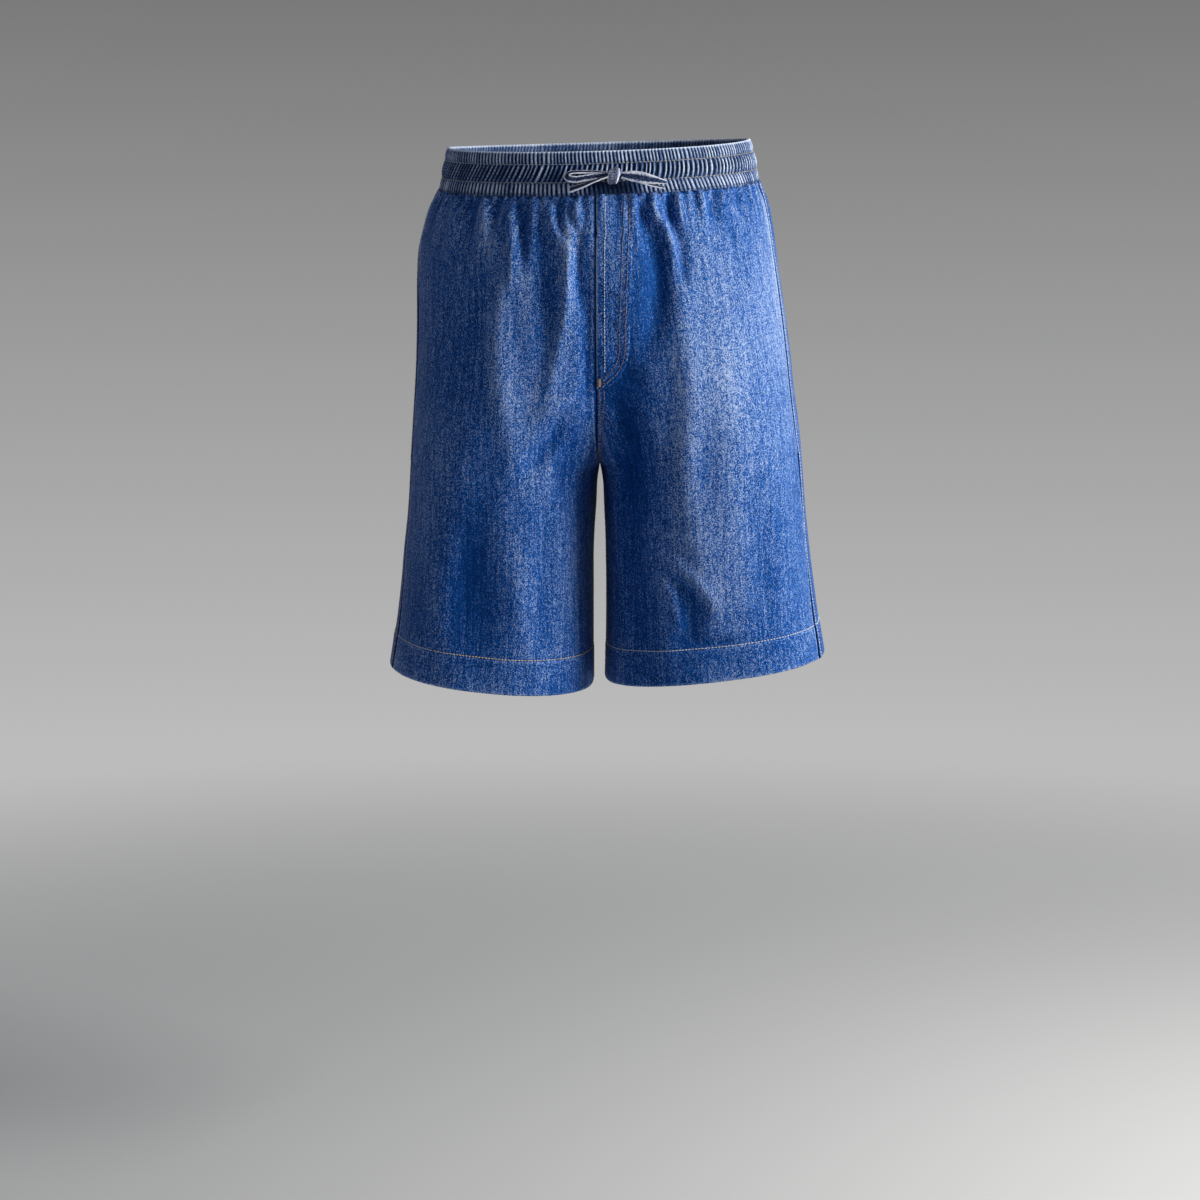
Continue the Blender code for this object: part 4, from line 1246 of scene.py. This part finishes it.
def band_ring(level, out, index, strength, inside):
    """One ring of the waistband's closed section: its points and how worn they are, with painted shade in
    the grooves between the gathers.
    """
    half = BAND_COLUMNS // 2
    rings = []
    for side in (1, -1):
        _, arc, _ = half_section(side, level)
        arcs = np.linspace(0.0, arc[-1], half + 1)
        arcs = arcs[:-1] if side > 0 else arcs[1:][::-1]
        points, normals = form_points(side, level, arcs), outward(side, level, arcs)
        flat = normals[:, :2] / np.linalg.norm(normals[:, :2], axis=1)[:, None]
        rings.append((side, points, flat))
    whole = np.concatenate([points for _, points, _ in rings])
    turn = np.arange(2 * half) / (2 * half)
    crest, uneven = band_gathers(index, turn, whole[:, 0], level)
    if index == 2:
        uneven = uneven * pressed_and_shadowed(whole)
    depth = channel_of(index)["depth"]
    away = out - strength * depth * (1 - crest) * uneven * (INSIDE_SHARE if inside else 1.0)
    ripple_points, start = [], 0
    for side, points, flat in rings:
        shift = away[start : start + half]
        start += half
        px, py = points[:, 0] + shift * flat[:, 0], points[:, 1] + shift * flat[:, 1]
        ripple_points.append(np.stack([px, py, height_at(side, level, px, py)], axis=1))
    # Crests paler, partly as wear and partly as painted highlight; grooves darker as painted shade
    worn = strength * (CREST_WEAR_AND_SHADE[0] * crest * uneven - CREST_WEAR_AND_SHADE[1])
    return np.concatenate(ripple_points), worn, turn


def make_waistband():
    """The gathered elastic waistband as one closed ring: three channels of uneven gathers."""
    inside = BAND_OUTER_ROWS + len(TOP_FOLD) - 1
    points, wear_and_shade, uv = [], [], []
    pale, at, wide = TOP_FOLD_WEAR
    for row, section in enumerate(band_profile()):
        ring, worn, turn = band_ring(*section, row >= inside)
        points.append(ring)
        wear_and_shade.append(worn + pale * bump(at, wide, section[0]))
        uv.append(np.stack([turn * BAND_ROUND, np.full(len(turn), row * BAND_ROW_STEP)], axis=1))
    points, wear_and_shade, uv = np.array(points), np.array(wear_and_shade), np.array(uv)
    rows, columns = points.shape[:2]
    i, j = np.meshgrid(np.arange(rows), np.arange(columns), indexing="ij")
    i, j = i.ravel(), j.ravel()
    k, m = (i + 1) % rows, (j + 1) % columns
    faces = np.stack([i * columns + j, k * columns + j, k * columns + m, i * columns + m], 1)
    piece = make_piece("waistband", points, faces.tolist(), uv, [WASHED], None, {"wear_and_shade": wear_and_shade})
    return settle(piece, "washed_denim", "waistband")


pieces["waistband"] = make_waistband()


# ---------------------------------------------------------------- stitches
STITCH = 2.5
STITCH_PITCH = 3.2
THREAD_WIDE = 0.75
SIDE_THREAD = 1.2
HEM_THREAD = 1.0
# A stitch's rings as (share of its length, size, height)
STITCH_SHAPE = (
    (0.0, 0.35, -0.25), (0.1, 0.85, 0.05), (0.5, 1.0, 0.2), (0.9, 0.85, 0.05), (1.0, 0.35, -0.25),
)
STITCH_SIDES = 6
STITCH_OFF = 0.1
STITCH_WANDER = 0.15


class StitchRow:
    """Many short stitches gathered into one mesh."""

    def __init__(self):
        self.points, self.faces = [], []

    def add(self, start, end, normal, wide=THREAD_WIDE):
        """One stitch from start to end, standing a little proud along normal."""
        run = end - start
        across = np.cross(run, normal)
        across /= max(np.linalg.norm(across), 1e-9)
        first = len(self.points)
        for share, size, high in STITCH_SHAPE:
            middle = start + run * share + normal * (high * wide + STITCH_OFF)
            for k in range(STITCH_SIDES):
                angle = 2 * math.pi * k / STITCH_SIDES
                radius = 0.5 * wide * size
                spoke = math.cos(angle) * across + math.sin(angle) * normal
                self.points.append(middle + radius * spoke)
        for ring in range(len(STITCH_SHAPE) - 1):
            for k in range(STITCH_SIDES):
                a, b = (first + ring * STITCH_SIDES + n % STITCH_SIDES for n in (k, k + 1))
                self.faces.append((a, b, b + STITCH_SIDES, a + STITCH_SIDES))
        last = first + (len(STITCH_SHAPE) - 1) * STITCH_SIDES
        self.faces.append(tuple(first + k for k in reversed(range(STITCH_SIDES))))
        self.faces.append(tuple(last + k for k in range(STITCH_SIDES)))

    def make(self, name, made):
        mesh = bpy.data.meshes.new(name)
        mesh.from_pydata((np.array(self.points) * MM).tolist(), [], self.faces)
        mesh.materials.append(made)
        mesh.shade_smooth()
        piece = add_object(name, mesh)
        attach(piece, "root")


def sew(place, low, high, seed, pitch=STITCH_PITCH, stitch=STITCH, wide=THREAD_WIDE, slip=0.12):
    """Stitches along a line: place(s) gives the point and normal at s, in mm along the line."""
    chance = np.random.default_rng(seed)
    row = StitchRow()
    for at in np.arange(low, high - stitch, pitch):
        start, end = (n + chance.uniform(-STITCH_WANDER, STITCH_WANDER) for n in (at, at + stitch))
        (a, normal_a), (b, normal_b) = place(start), place(end)
        across = np.cross(b - a, normal_a)
        across /= max(np.linalg.norm(across), 1e-9)
        shift = across * chance.uniform(-slip, slip)
        normal = normal_a + normal_b
        row.add(a + shift, b - shift, normal / np.linalg.norm(normal), wide)
    return row


def joined(rows):
    """One StitchRow with the stitches of several."""
    whole = StitchRow()
    for row in rows:
        first = len(whole.points)
        whole.points += row.points
        whole.faces += [tuple(n + first for n in face) for face in row.faces]
    return whole


def along_seam(side, from_seam):
    """Places down a back panel, at a fixed distance from its side seam."""

    def place(down):
        return on_panel(panels["back", side], down, seam_arc(side, down) + from_seam)

    return place


def along_centre(part, side, from_end):
    """Places down a panel, at a fixed distance from its centre seam or inseam."""
    grid = panels[part, side]
    sign = -1 if part == "front" else 1

    def place(down):
        width = panel_width(part, side, down)
        return on_panel(grid, down, seam_arc(side, down) + sign * (width - from_end))

    return place


def along_hem(side, rise):
    """Places round a leg at a height above its hem, by arc length from the inseam."""

    def place(arc):
        down = HEM - rise
        part = "front" if arc < seam_arc(side, down) else "back"
        return on_panel(panels[part, side], down, arc)

    return place


FLY_PROUD = 0.75


def on_fly(line):
    """Places along a curve of (level, arc) pairs on the fly's face, and how long the curve is."""
    spots = [on_panel(panels["front", 1], down, arc) for down, arc in line]
    points = np.array([spot + normal * FLY_PROUD for spot, normal in spots])
    normals = np.array([normal for _, normal in spots])
    long = np.concatenate([[0.0], np.cumsum(np.linalg.norm(np.diff(points, axis=0), axis=1))])

    def place(s):
        point = np.array([np.interp(s, long, points[:, k]) for k in range(3)])
        normal = np.array([np.interp(s, long, normals[:, k]) for k in range(3)])
        return point, normal / np.linalg.norm(normal)

    return place, long[-1]


def round_band(level, out, side):
    """Places round one side of the waistband, by arc length from the centre front."""

    def place(arc):
        arcs = np.array([arc])
        point, normal = form_points(side, level, arcs)[0], outward(side, level, arcs)[0]
        flat = np.array([normal[0], normal[1], 0.0])
        flat /= np.linalg.norm(flat)
        return point + flat * out, flat

    return place


# The waistband's rows as name, level, how far out, seed, thread width and slip
BAND_ROWS = (
    ("upper", -9.0, 0.35, 301, 0.5, 0.25),
    ("middle", 8.0, 0.35, 301, 0.5, 0.25),
    ("edge", 18.6, 0.9, 302, 0.42, 0.2),
)
BAND_START = 0.5
BAND_STITCH = 3.0
BAND_PITCH = 4.0
BELOW_BAND = PANEL_TOP + 1.5
SIDE_SLIP = 0.8
HEM_STITCH_SPLIT = 60.0


def sew_waistband():
    for side, word, made in ((-1, "right", PALE_THREAD), (1, "left", GOLD_THREAD)):
        for name, level, out, seed, wide, slip in BAND_ROWS:
            _, arc, _ = half_section(side, level)
            place = round_band(level, out, side)
            row = sew(place, BAND_START, arc[-1], seed, BAND_PITCH, BAND_STITCH, wide, slip)
            row.make(f"waist_stitches_{name}_{word}", DARK_THREAD if name == "edge" else made)


def two_rows(part, side, low, high, seed):
    """The two rows of stitches beside a centre seam or an inseam."""
    return joined([sew(along_centre(part, side, d), low, high, seed) for d in (SEAM_ROW, SEAM_ROW_2)])


def sew_panels():
    for side, word, made in ((-1, "right", TAN_THREAD), (1, "left", PALE_THREAD)):
        place = along_seam(side, SEAM_ROW)
        side_row = sew(place, BELOW_BAND, HEM - 1, 310 + side, wide=SIDE_THREAD, slip=SIDE_SLIP)
        side_row.make(f"side_stitches_{word}", made)
        inseam = two_rows("back", side, CROTCH + 6, HEM - 1, 320 + side)
        inseam.make(f"inseam_stitches_{word}", TAN_THREAD)
    two_rows("back", 1, BELOW_BAND, CROTCH - 2, 330).make("back_rise_stitches", TAN_THREAD)
    two_rows("front", 1, FLY_END + 2, CROTCH - 2, 331).make("front_rise_stitches", BROWN_THREAD)


def sew_hems():
    for side, word in ((-1, "right"), (1, "left")):
        _, arc, _ = half_section(side, HEM - HEM_ROW)
        place = along_hem(side, HEM_ROW)
        seam = seam_arc(side, HEM - HEM_ROW)
        split = seam - HEM_STITCH_SPLIT
        pale = [sew(place, split, seam + 20, 340 + side, wide=HEM_THREAD)]
        ends = ((2, split), (seam + 21, arc[-1] - 2))
        tan = [sew(place, low, high, 341 + side, wide=HEM_THREAD) for low, high in ends]
        if side > 0:
            pale, tan = [sew(place, 2, arc[-1] - 2, 343, wide=HEM_THREAD)], []
        joined(pale).make(f"hem_stitches_{word}", PALE_THREAD)
        if tan:
            joined(tan).make(f"hem_stitches_tan_{word}", GOLD_THREAD)


TACK_AT = (199.0, 3.5)
TACK_SIZE = (1.6, 7.0)
TACK_STITCHES = 12
TACK_TILT = 0.35
TACK_PROUD = 1.1


def sew_fly():
    rows = []
    for inset in FLY_SEWN:
        place, long = on_fly(fly_edge(inset, FLY_EDGE_STEPS))
        rows.append(sew(place, 1.0, long, 350 + int(inset), slip=0.2))
    joined(rows).make("fly_stitches", BROWN_THREAD)
    downs = np.linspace(PANEL_TOP + 1, FLY_END - 14, FLY_EDGE_STEPS)
    place, long = on_fly([(down, FLY_LINE) for down in downs])
    sew(place, 1.0, long, 360, slip=0.15).make("fly_edge_stitches", PALE_THREAD)
    tack = StitchRow()
    side_step = np.array([TACK_SIZE[0], 0.0, TACK_TILT])
    for k in np.linspace(-0.5, 0.5, TACK_STITCHES):
        down = TACK_AT[0] + k * TACK_SIZE[1]
        point, normal = on_panel(panels["front", 1], down, TACK_AT[1])
        proud = normal * TACK_PROUD
        tack.add(point - side_step + proud, point + side_step + proud, normal)
    tack.make("fly_bar_tack", TAN_THREAD)


sew_waistband()
sew_panels()
sew_hems()
sew_fly()


# ---------------------------------------------------------------- drawstring, tied in a bow
TAPE_WIDTH = 7.0
TAPE_THICK = 1.3
# Points of the tape's route as x, how far it stands off the waistband's face, z, the width that
# shows and how far the tape is turned from facing the front
LOOP_RIGHT = (
    (11.6, 3.8, -20.4, 5.0, 64), (4.0, 4.2, -19.6, 6.5, 66), (-6.0, 4.4, -19.2, 7.0, 64),
    (-15.0, 4.6, -19.2, 7.0, 62), (-22.0, 4.8, -19.6, 7.0, 62), (-26.6, 5.8, -21.6, 7.0, 62),
    (-26.0, 7.6, -25.0, 7.0, 58), (-20.0, 8.8, -26.6, 7.0, 50), (-11.0, 9.2, -25.6, 6.8, 46),
    (-1.0, 8.8, -24.0, 6.2, 50), (7.0, 8.0, -22.8, 5.0, 56), (11.6, 7.6, -22.6, 4.6, 60),
)
TAIL_RIGHT = (
    (11.6, 11.0, -24.0, 5.4, 20), (5.0, 11.6, -26.0, 6.6, 12), (-4.0, 11.4, -29.4, 7.6, 6),
    (-13.0, 10.4, -32.8, 8.4, 0), (-24.0, 8.8, -36.0, 9.4, -8),
)
LOOP_LEFT = (
    (24.4, 3.0, -21.0, 4.0, 0), (33.0, 3.6, -21.4, 6.5, 0), (44.0, 4.0, -23.2, 7.5, 0),
    (55.0, 4.4, -26.2, 6.5, 0), (62.0, 5.2, -28.4, 4.6, 0), (66.0, 6.8, -29.4, 3.6, 0),
    (63.0, 8.6, -28.8, 4.6, 0), (56.0, 9.4, -27.6, 7.0, 0), (46.0, 9.4, -26.0, 9.4, 0),
    (36.0, 8.8, -24.4, 9.2, 0), (28.0, 8.0, -23.2, 6.6, 0), (24.4, 7.6, -22.8, 4.8, 0),
)
TAIL_LEFT = (
    (24.4, 5.3, -25.0, 4.4, 0), (33.0, 6.0, -26.4, 5.5, 0), (44.0, 6.6, -29.6, 6.0, 0),
    (55.0, 6.8, -32.6, 6.0, 0), (65.0, 6.6, -34.2, 6.0, 0),
)
BAND_FACE = -(size_at("front", 0.0) + max(channel[2] for channel in CHANNELS))
TAPE_STEP = 0.9
# From the tape's middle to its edge as (share of its half width, height, worn): rolled, paler edges
TAPE_HALF = (
    (0.0, 0.45, -0.25), (0.35, 0.42, -0.3), (0.56, 0.5, 0.25), (0.78, 0.75, 0.7), (0.95, 0.5, 0.8),
    (1.0, 0.0, 0.6),
)
TAPE_SECTION = tuple((-share, high, value) for share, high, value in TAPE_HALF[:0:-1]) + TAPE_HALF
TAPE_SHARE = 0.72
# Unevenness of its width and cupping of its face as (height, length of a cell, row)
TAPE_UNEVEN = (0.05, 3.0, 0.5)
TAPE_CUP = (0.6, 9.0, 4.5)
CUP_LEVEL = 0.4
TAPE_FACES = 60


def smooth_route(route):
    """A route's points on a smooth curve, close together: points, widths and turns."""
    points = np.array(route, float)
    points[:, 1] = BAND_FACE - points[:, 1]
    slopes = np.gradient(points, axis=0)
    found = []
    for i in range(len(points) - 1):
        gap = np.linalg.norm(points[i + 1, :3] - points[i, :3])
        for t in np.linspace(0, 1, max(int(gap / TAPE_STEP), 1), endpoint=False):
            found.append(curve_between(t, 1, points[i], points[i + 1], slopes[i], slopes[i + 1]))
    found.append(points[-1])
    return np.array(found)


def tape_rings(route, seed):
    """The tape's rings along a smooth route, carried without twist and then turned."""
    found = smooth_route(route)
    line = found[:, :3]
    run = np.gradient(line, axis=0)
    run /= np.linalg.norm(run, axis=1)[:, None]
    wide = np.array([0.0, 0.0, 1.0])
    rings, worn, uv, along = [], [], [], 0.0
    for k in range(len(line)):
        if k:
            along += np.linalg.norm(line[k] - line[k - 1])
        wide = wide - run[k] * (wide @ run[k])
        wide /= np.linalg.norm(wide)
        flat = np.cross(run[k], wide)
        angle = math.radians(found[k, 4])
        across = math.cos(angle) * wide + math.sin(angle) * flat
        proud = math.cos(angle) * flat - math.sin(angle) * wide
        uneven, cup = (
            high * float(noise(along / cell, v, seed)) for high, cell, v in (TAPE_UNEVEN, TAPE_CUP)
        )
        half = 0.5 * found[k, 3] * (1 + uneven)
        ring, ring_worn, ring_uv = [], [], []
        for face in (1, -1):
            section = TAPE_SECTION[:-1] if face > 0 else TAPE_SECTION[::-1][:-1]
            for share, high, value in section:
                bend = cup * (share * share - CUP_LEVEL)
                height = face * high * TAPE_THICK * TAPE_SHARE + bend
                ring.append(line[k] + across * (half * share) + proud * height)
                ring_worn.append(value)
                ring_uv.append((along + UV_TAPE + TAPE_FACES * (face < 0), 0.5 * TAPE_WIDTH * share))
        rings.append(ring)
        worn.append(ring_worn)
        uv.append(ring_uv)
    return np.array(rings), np.array(worn), np.array(uv), line


def tube_faces(rows, columns):
    """Quads of a tube of rings, and its two end faces split into quads across the middle."""
    faces = []
    for i in range(rows - 1):
        for j in range(columns):
            a, b = (i * columns + n % columns for n in (j, j + 1))
            faces.append((a, b, b + columns, a + columns))
    half = columns // 2
    for first, turn in ((0, 1), ((rows - 1) * columns, -1)):
        for j in range(half):
            quad = [first + n % columns for n in (j, columns - j, columns - j - 1, j + 1)]
            if len(set(quad)) == 4:
                faces.append(tuple(quad[::turn]))
            elif j == 0:
                faces.append(tuple([quad[0], quad[2], quad[3]][::turn]))
            else:
                faces.append(tuple([quad[0], quad[1], quad[2]][::turn]))
    return faces


def make_tape(name, loop, tail, seed, nodes):
    """One end of the drawstring: a loop that returns into the knot, and its free tail."""
    rings, worn, uv, line = tape_rings(loop + tail, seed)
    faces = tube_faces(*rings.shape[:2])
    piece = make_piece(name, rings, faces, uv, [TAPE], None, {"wear_and_shade": worn})
    return settle(piece, "washed_denim", *nodes), line


KNOT_ROUND = 48
KNOT_SHARES = (0.0, 0.03, 0.09, 0.17, 0.26, 0.38, 0.5, 0.62, 0.74, 0.83, 0.91, 0.97, 1.0)
KNOT_CAP = 0.12
KNOT_NARROW = 0.30
KNOT_PINCH = 0.22
KNOT_LEAN = 0.16
# The rolled edge's places and width, and how far it stands out; then how worn the edge and face are
KNOT_EDGES = (0.09, 0.91)
KNOT_EDGE_WIDTH = 0.06
KNOT_ROLL = 0.05
KNOT_WEAR = (0.6, 0.12)


def make_knot():
    """The knot: a tape wrapped upright round the crossing, with paler rolled edges."""
    x, off, z = KNOT_CENTRE
    wide, deep, tall = (0.5 * size for size in KNOT_SIZE)
    rings, worn, uv = [], [], []
    for share in KNOT_SHARES:
        away = 2 * share - 1
        swell = 1 - KNOT_NARROW * abs(away) ** 3
        edge = sum(bump(place, KNOT_EDGE_WIDTH, share) for place in KNOT_EDGES)
        cap = KNOT_CAP if share in (0.0, 1.0) else 1.0
        ring, ring_worn, ring_uv = [], [], []
        for k in range(KNOT_ROUND):
            angle = 2 * math.pi * k / KNOT_ROUND
            wrinkle = 0.05 * math.sin(3 * angle + 5 * share) + 0.04 * math.sin(11 * share + angle)
            size = cap * (swell * (1 + wrinkle) + KNOT_ROLL * edge)
            high, front = tall * math.sin(angle), deep * math.cos(angle)
            pinch = 1 - KNOT_PINCH * abs(math.sin(angle)) ** 3
            out = wide * away * pinch + KNOT_LEAN * high
            ring.append((x + out, BAND_FACE - off - size * front, z + size * high))
            ring_worn.append(KNOT_WEAR[0] * edge + KNOT_WEAR[1])
            ring_uv.append((UV_KNOT + 30 * angle / math.pi, 12 * share))
        rings.append(ring)
        worn.append(ring_worn)
        uv.append(ring_uv)
    faces = tube_faces(len(KNOT_SHARES), KNOT_ROUND)
    piece = make_piece("bow_knot", rings, faces, uv, [TAPE], None, {"wear_and_shade": worn})
    return settle(piece, "washed_denim", "bow_knot")


pieces["knot"] = make_knot()
for word, loop, tail, seed in (("right", LOOP_RIGHT, TAIL_RIGHT, 401), ("left", LOOP_LEFT, TAIL_LEFT, 402)):
    nodes = (f"bow_loop_{word}", f"bow_tail_{word}")
    tape, line = make_tape(f"drawstring_{word}", loop, tail, seed, nodes)
    long = float(np.linalg.norm(np.diff(line, axis=0), axis=1).sum()) * MM
    [tuple(point) for point in line * MM]


# ---------------------------------------------------------------- camera, light and floor
CAMERA_AT = (0.0768, -2.1987, -0.232)
CAMERA_TURN = 2.0
CAMERA_PITCH = 5.19
LENS = 66.0
SENSOR = 36.0
FLOOR_DOWN = 1.03
FLOOR_RADIUS = 4.6
FLOOR_SIDES = 96
FLOOR_COLOUR = (0.58, 0.605, 0.64, 1)
FLOOR_FADE = {"From Min": 0.3, "From Max": 3.0, "To Min": 1.0, "To Max": 0.0}
SKY_STOPS = ((0.42, (0.45, 0.45, 0.45)), (0.60, (0.17, 0.17, 0.173)))
# The lights as name, place, target, size, power and colour
LIGHTS = (
    ("key", (2.1, -0.70, 0.42), (0.0, 0.0, -0.28), (0.9, 1.4), 84, (1.0, 0.95, 0.87)),
    ("fill", (-2.6, -2.9, 0.9), (0.0, 0.0, -0.6), (2.0, 2.0), 7.0, (1.0, 1.0, 1.0)),
)


def make_camera():
    camera = bpy.data.cameras.new("camera")
    camera.lens = LENS
    camera.sensor_width = SENSOR
    holder = add_object("camera", camera)
    holder.location = CAMERA_AT
    turn, pitch = math.radians(CAMERA_TURN), math.radians(CAMERA_PITCH)
    level = math.cos(pitch)
    ahead = Vector((-math.sin(turn) * level, math.cos(turn) * level, -math.sin(pitch)))
    holder.rotation_euler = ahead.to_track_quat("-Z", "Y").to_euler()
    bpy.context.scene.camera = holder


def make_light(name, at, target, size, power, colour):
    light = bpy.data.lights.new(name, "AREA")
    light.shape = "RECTANGLE"
    light.size, light.size_y = size
    light.energy = power
    light.color = colour
    holder = add_object(name, light)
    holder.location = at
    holder.rotation_euler = (Vector(target) - Vector(at)).to_track_quat("-Z", "Y").to_euler()


def make_world():
    """An even grey that is darker towards the top."""
    world = bpy.data.worlds.new("studio")
    world.use_nodes = True
    tree = world.node_tree
    place = tree.nodes.new("ShaderNodeTexCoord")
    split = add_node(tree, "ShaderNodeSeparateXYZ", Vector=place.outputs["Generated"])
    height = add_math(tree, "MULTIPLY_ADD", split.outputs["Z"], 0.5, 0.5)
    background = tree.nodes["Background"]
    tree.links.new(colour_ramp(tree, height, SKY_STOPS), background.inputs["Color"])
    background.inputs["Strength"].default_value = 1.0
    bpy.context.scene.world = world


def make_floor():
    """A pale floor that fades out well away from the shorts."""
    shape = {"vertices": FLOOR_SIDES, "radius": FLOOR_RADIUS, "fill_type": "NGON"}
    bpy.ops.mesh.primitive_circle_add(**shape, location=(0, 0, -FLOOR_DOWN))
    floor = bpy.context.object
    floor.name = "floor"
    made = bpy.data.materials.new("floor")
    made.use_nodes = True
    tree = made.node_tree
    shader = tree.nodes["Principled BSDF"]
    shader.inputs["Base Color"].default_value = FLOOR_COLOUR
    shader.inputs["Roughness"].default_value = 0.9
    shader.inputs["Specular IOR Level"].default_value = 0.1
    place = tree.nodes.new("ShaderNodeTexCoord")
    away = tree.nodes.new("ShaderNodeVectorMath")
    away.operation = "LENGTH"
    tree.links.new(place.outputs["Object"], away.inputs[0])
    fade = add_node(tree, "ShaderNodeMapRange", Value=away.outputs["Value"])
    fade.interpolation_type = "SMOOTHSTEP"
    for name, value in FLOOR_FADE.items():
        fade.inputs[name].default_value = value
    tree.links.new(fade.outputs["Result"], shader.inputs["Alpha"])
    floor.data.materials.append(made)


# ---------------------------------------------------------------- the cut of each piece of cloth
def cut_of(points, round_grid=False):
    """The width, length and area, in metres, of the cloth in a grid of points."""
    if round_grid:
        points = np.concatenate([points, points[:, :1]], axis=1)
    across = np.linalg.norm(np.diff(points, axis=1), axis=2).sum(axis=1).max() * MM
    down = np.linalg.norm(np.diff(points, axis=0), axis=2).sum(axis=0).max() * MM
    one, other = points[1:, 1:] - points[:-1, :-1], points[1:, :-1] - points[:-1, 1:]
    area = 0.5 * np.linalg.norm(np.cross(one, other), axis=2).sum() * MM**2
    return (round(float(across), 3), round(float(down), 3)), round(float(area), 4)


def outer_grid(piece, columns, rows):
    """The first rows of a piece's points, in millimetres."""
    points = np.array([vertex.co for vertex in piece.data.vertices[: rows * columns]])
    return points.reshape(rows, columns, 3) / MM


def state_cuts():
    for side, word in ((-1, "right"), (1, "left")):
        for part in ("front", "back"):
            flat, area = cut_of(panels[part, side]["points"])
        ring = FRONT_COUNT + BACK_COUNT + 2 + 4 * len(EDGE_COLUMNS)
        flat, _ = cut_of(outer_grid(pieces["hem", side], ring, HEM_ROWS), round_grid=True)
        count = len(pieces["facing", side].data.vertices) // 2 // FACING_COUNT
        flat, area = cut_of(outer_grid(pieces["facing", side], FACING_COUNT, count))
    flat, area = cut_of(outer_grid(pieces["fly"], FLY_COUNT, FLY_ROWS))
    flat, _ = cut_of(outer_grid(pieces["waistband"], BAND_COLUMNS, BAND_OUTER_ROWS), round_grid=True)


state_cuts()

make_camera()
make_world()
make_floor()
for light in LIGHTS:
    make_light(*light)
bpy.context.scene.view_settings.view_transform = "Standard"
bpy.context.scene.view_settings.look = "Medium High Contrast"
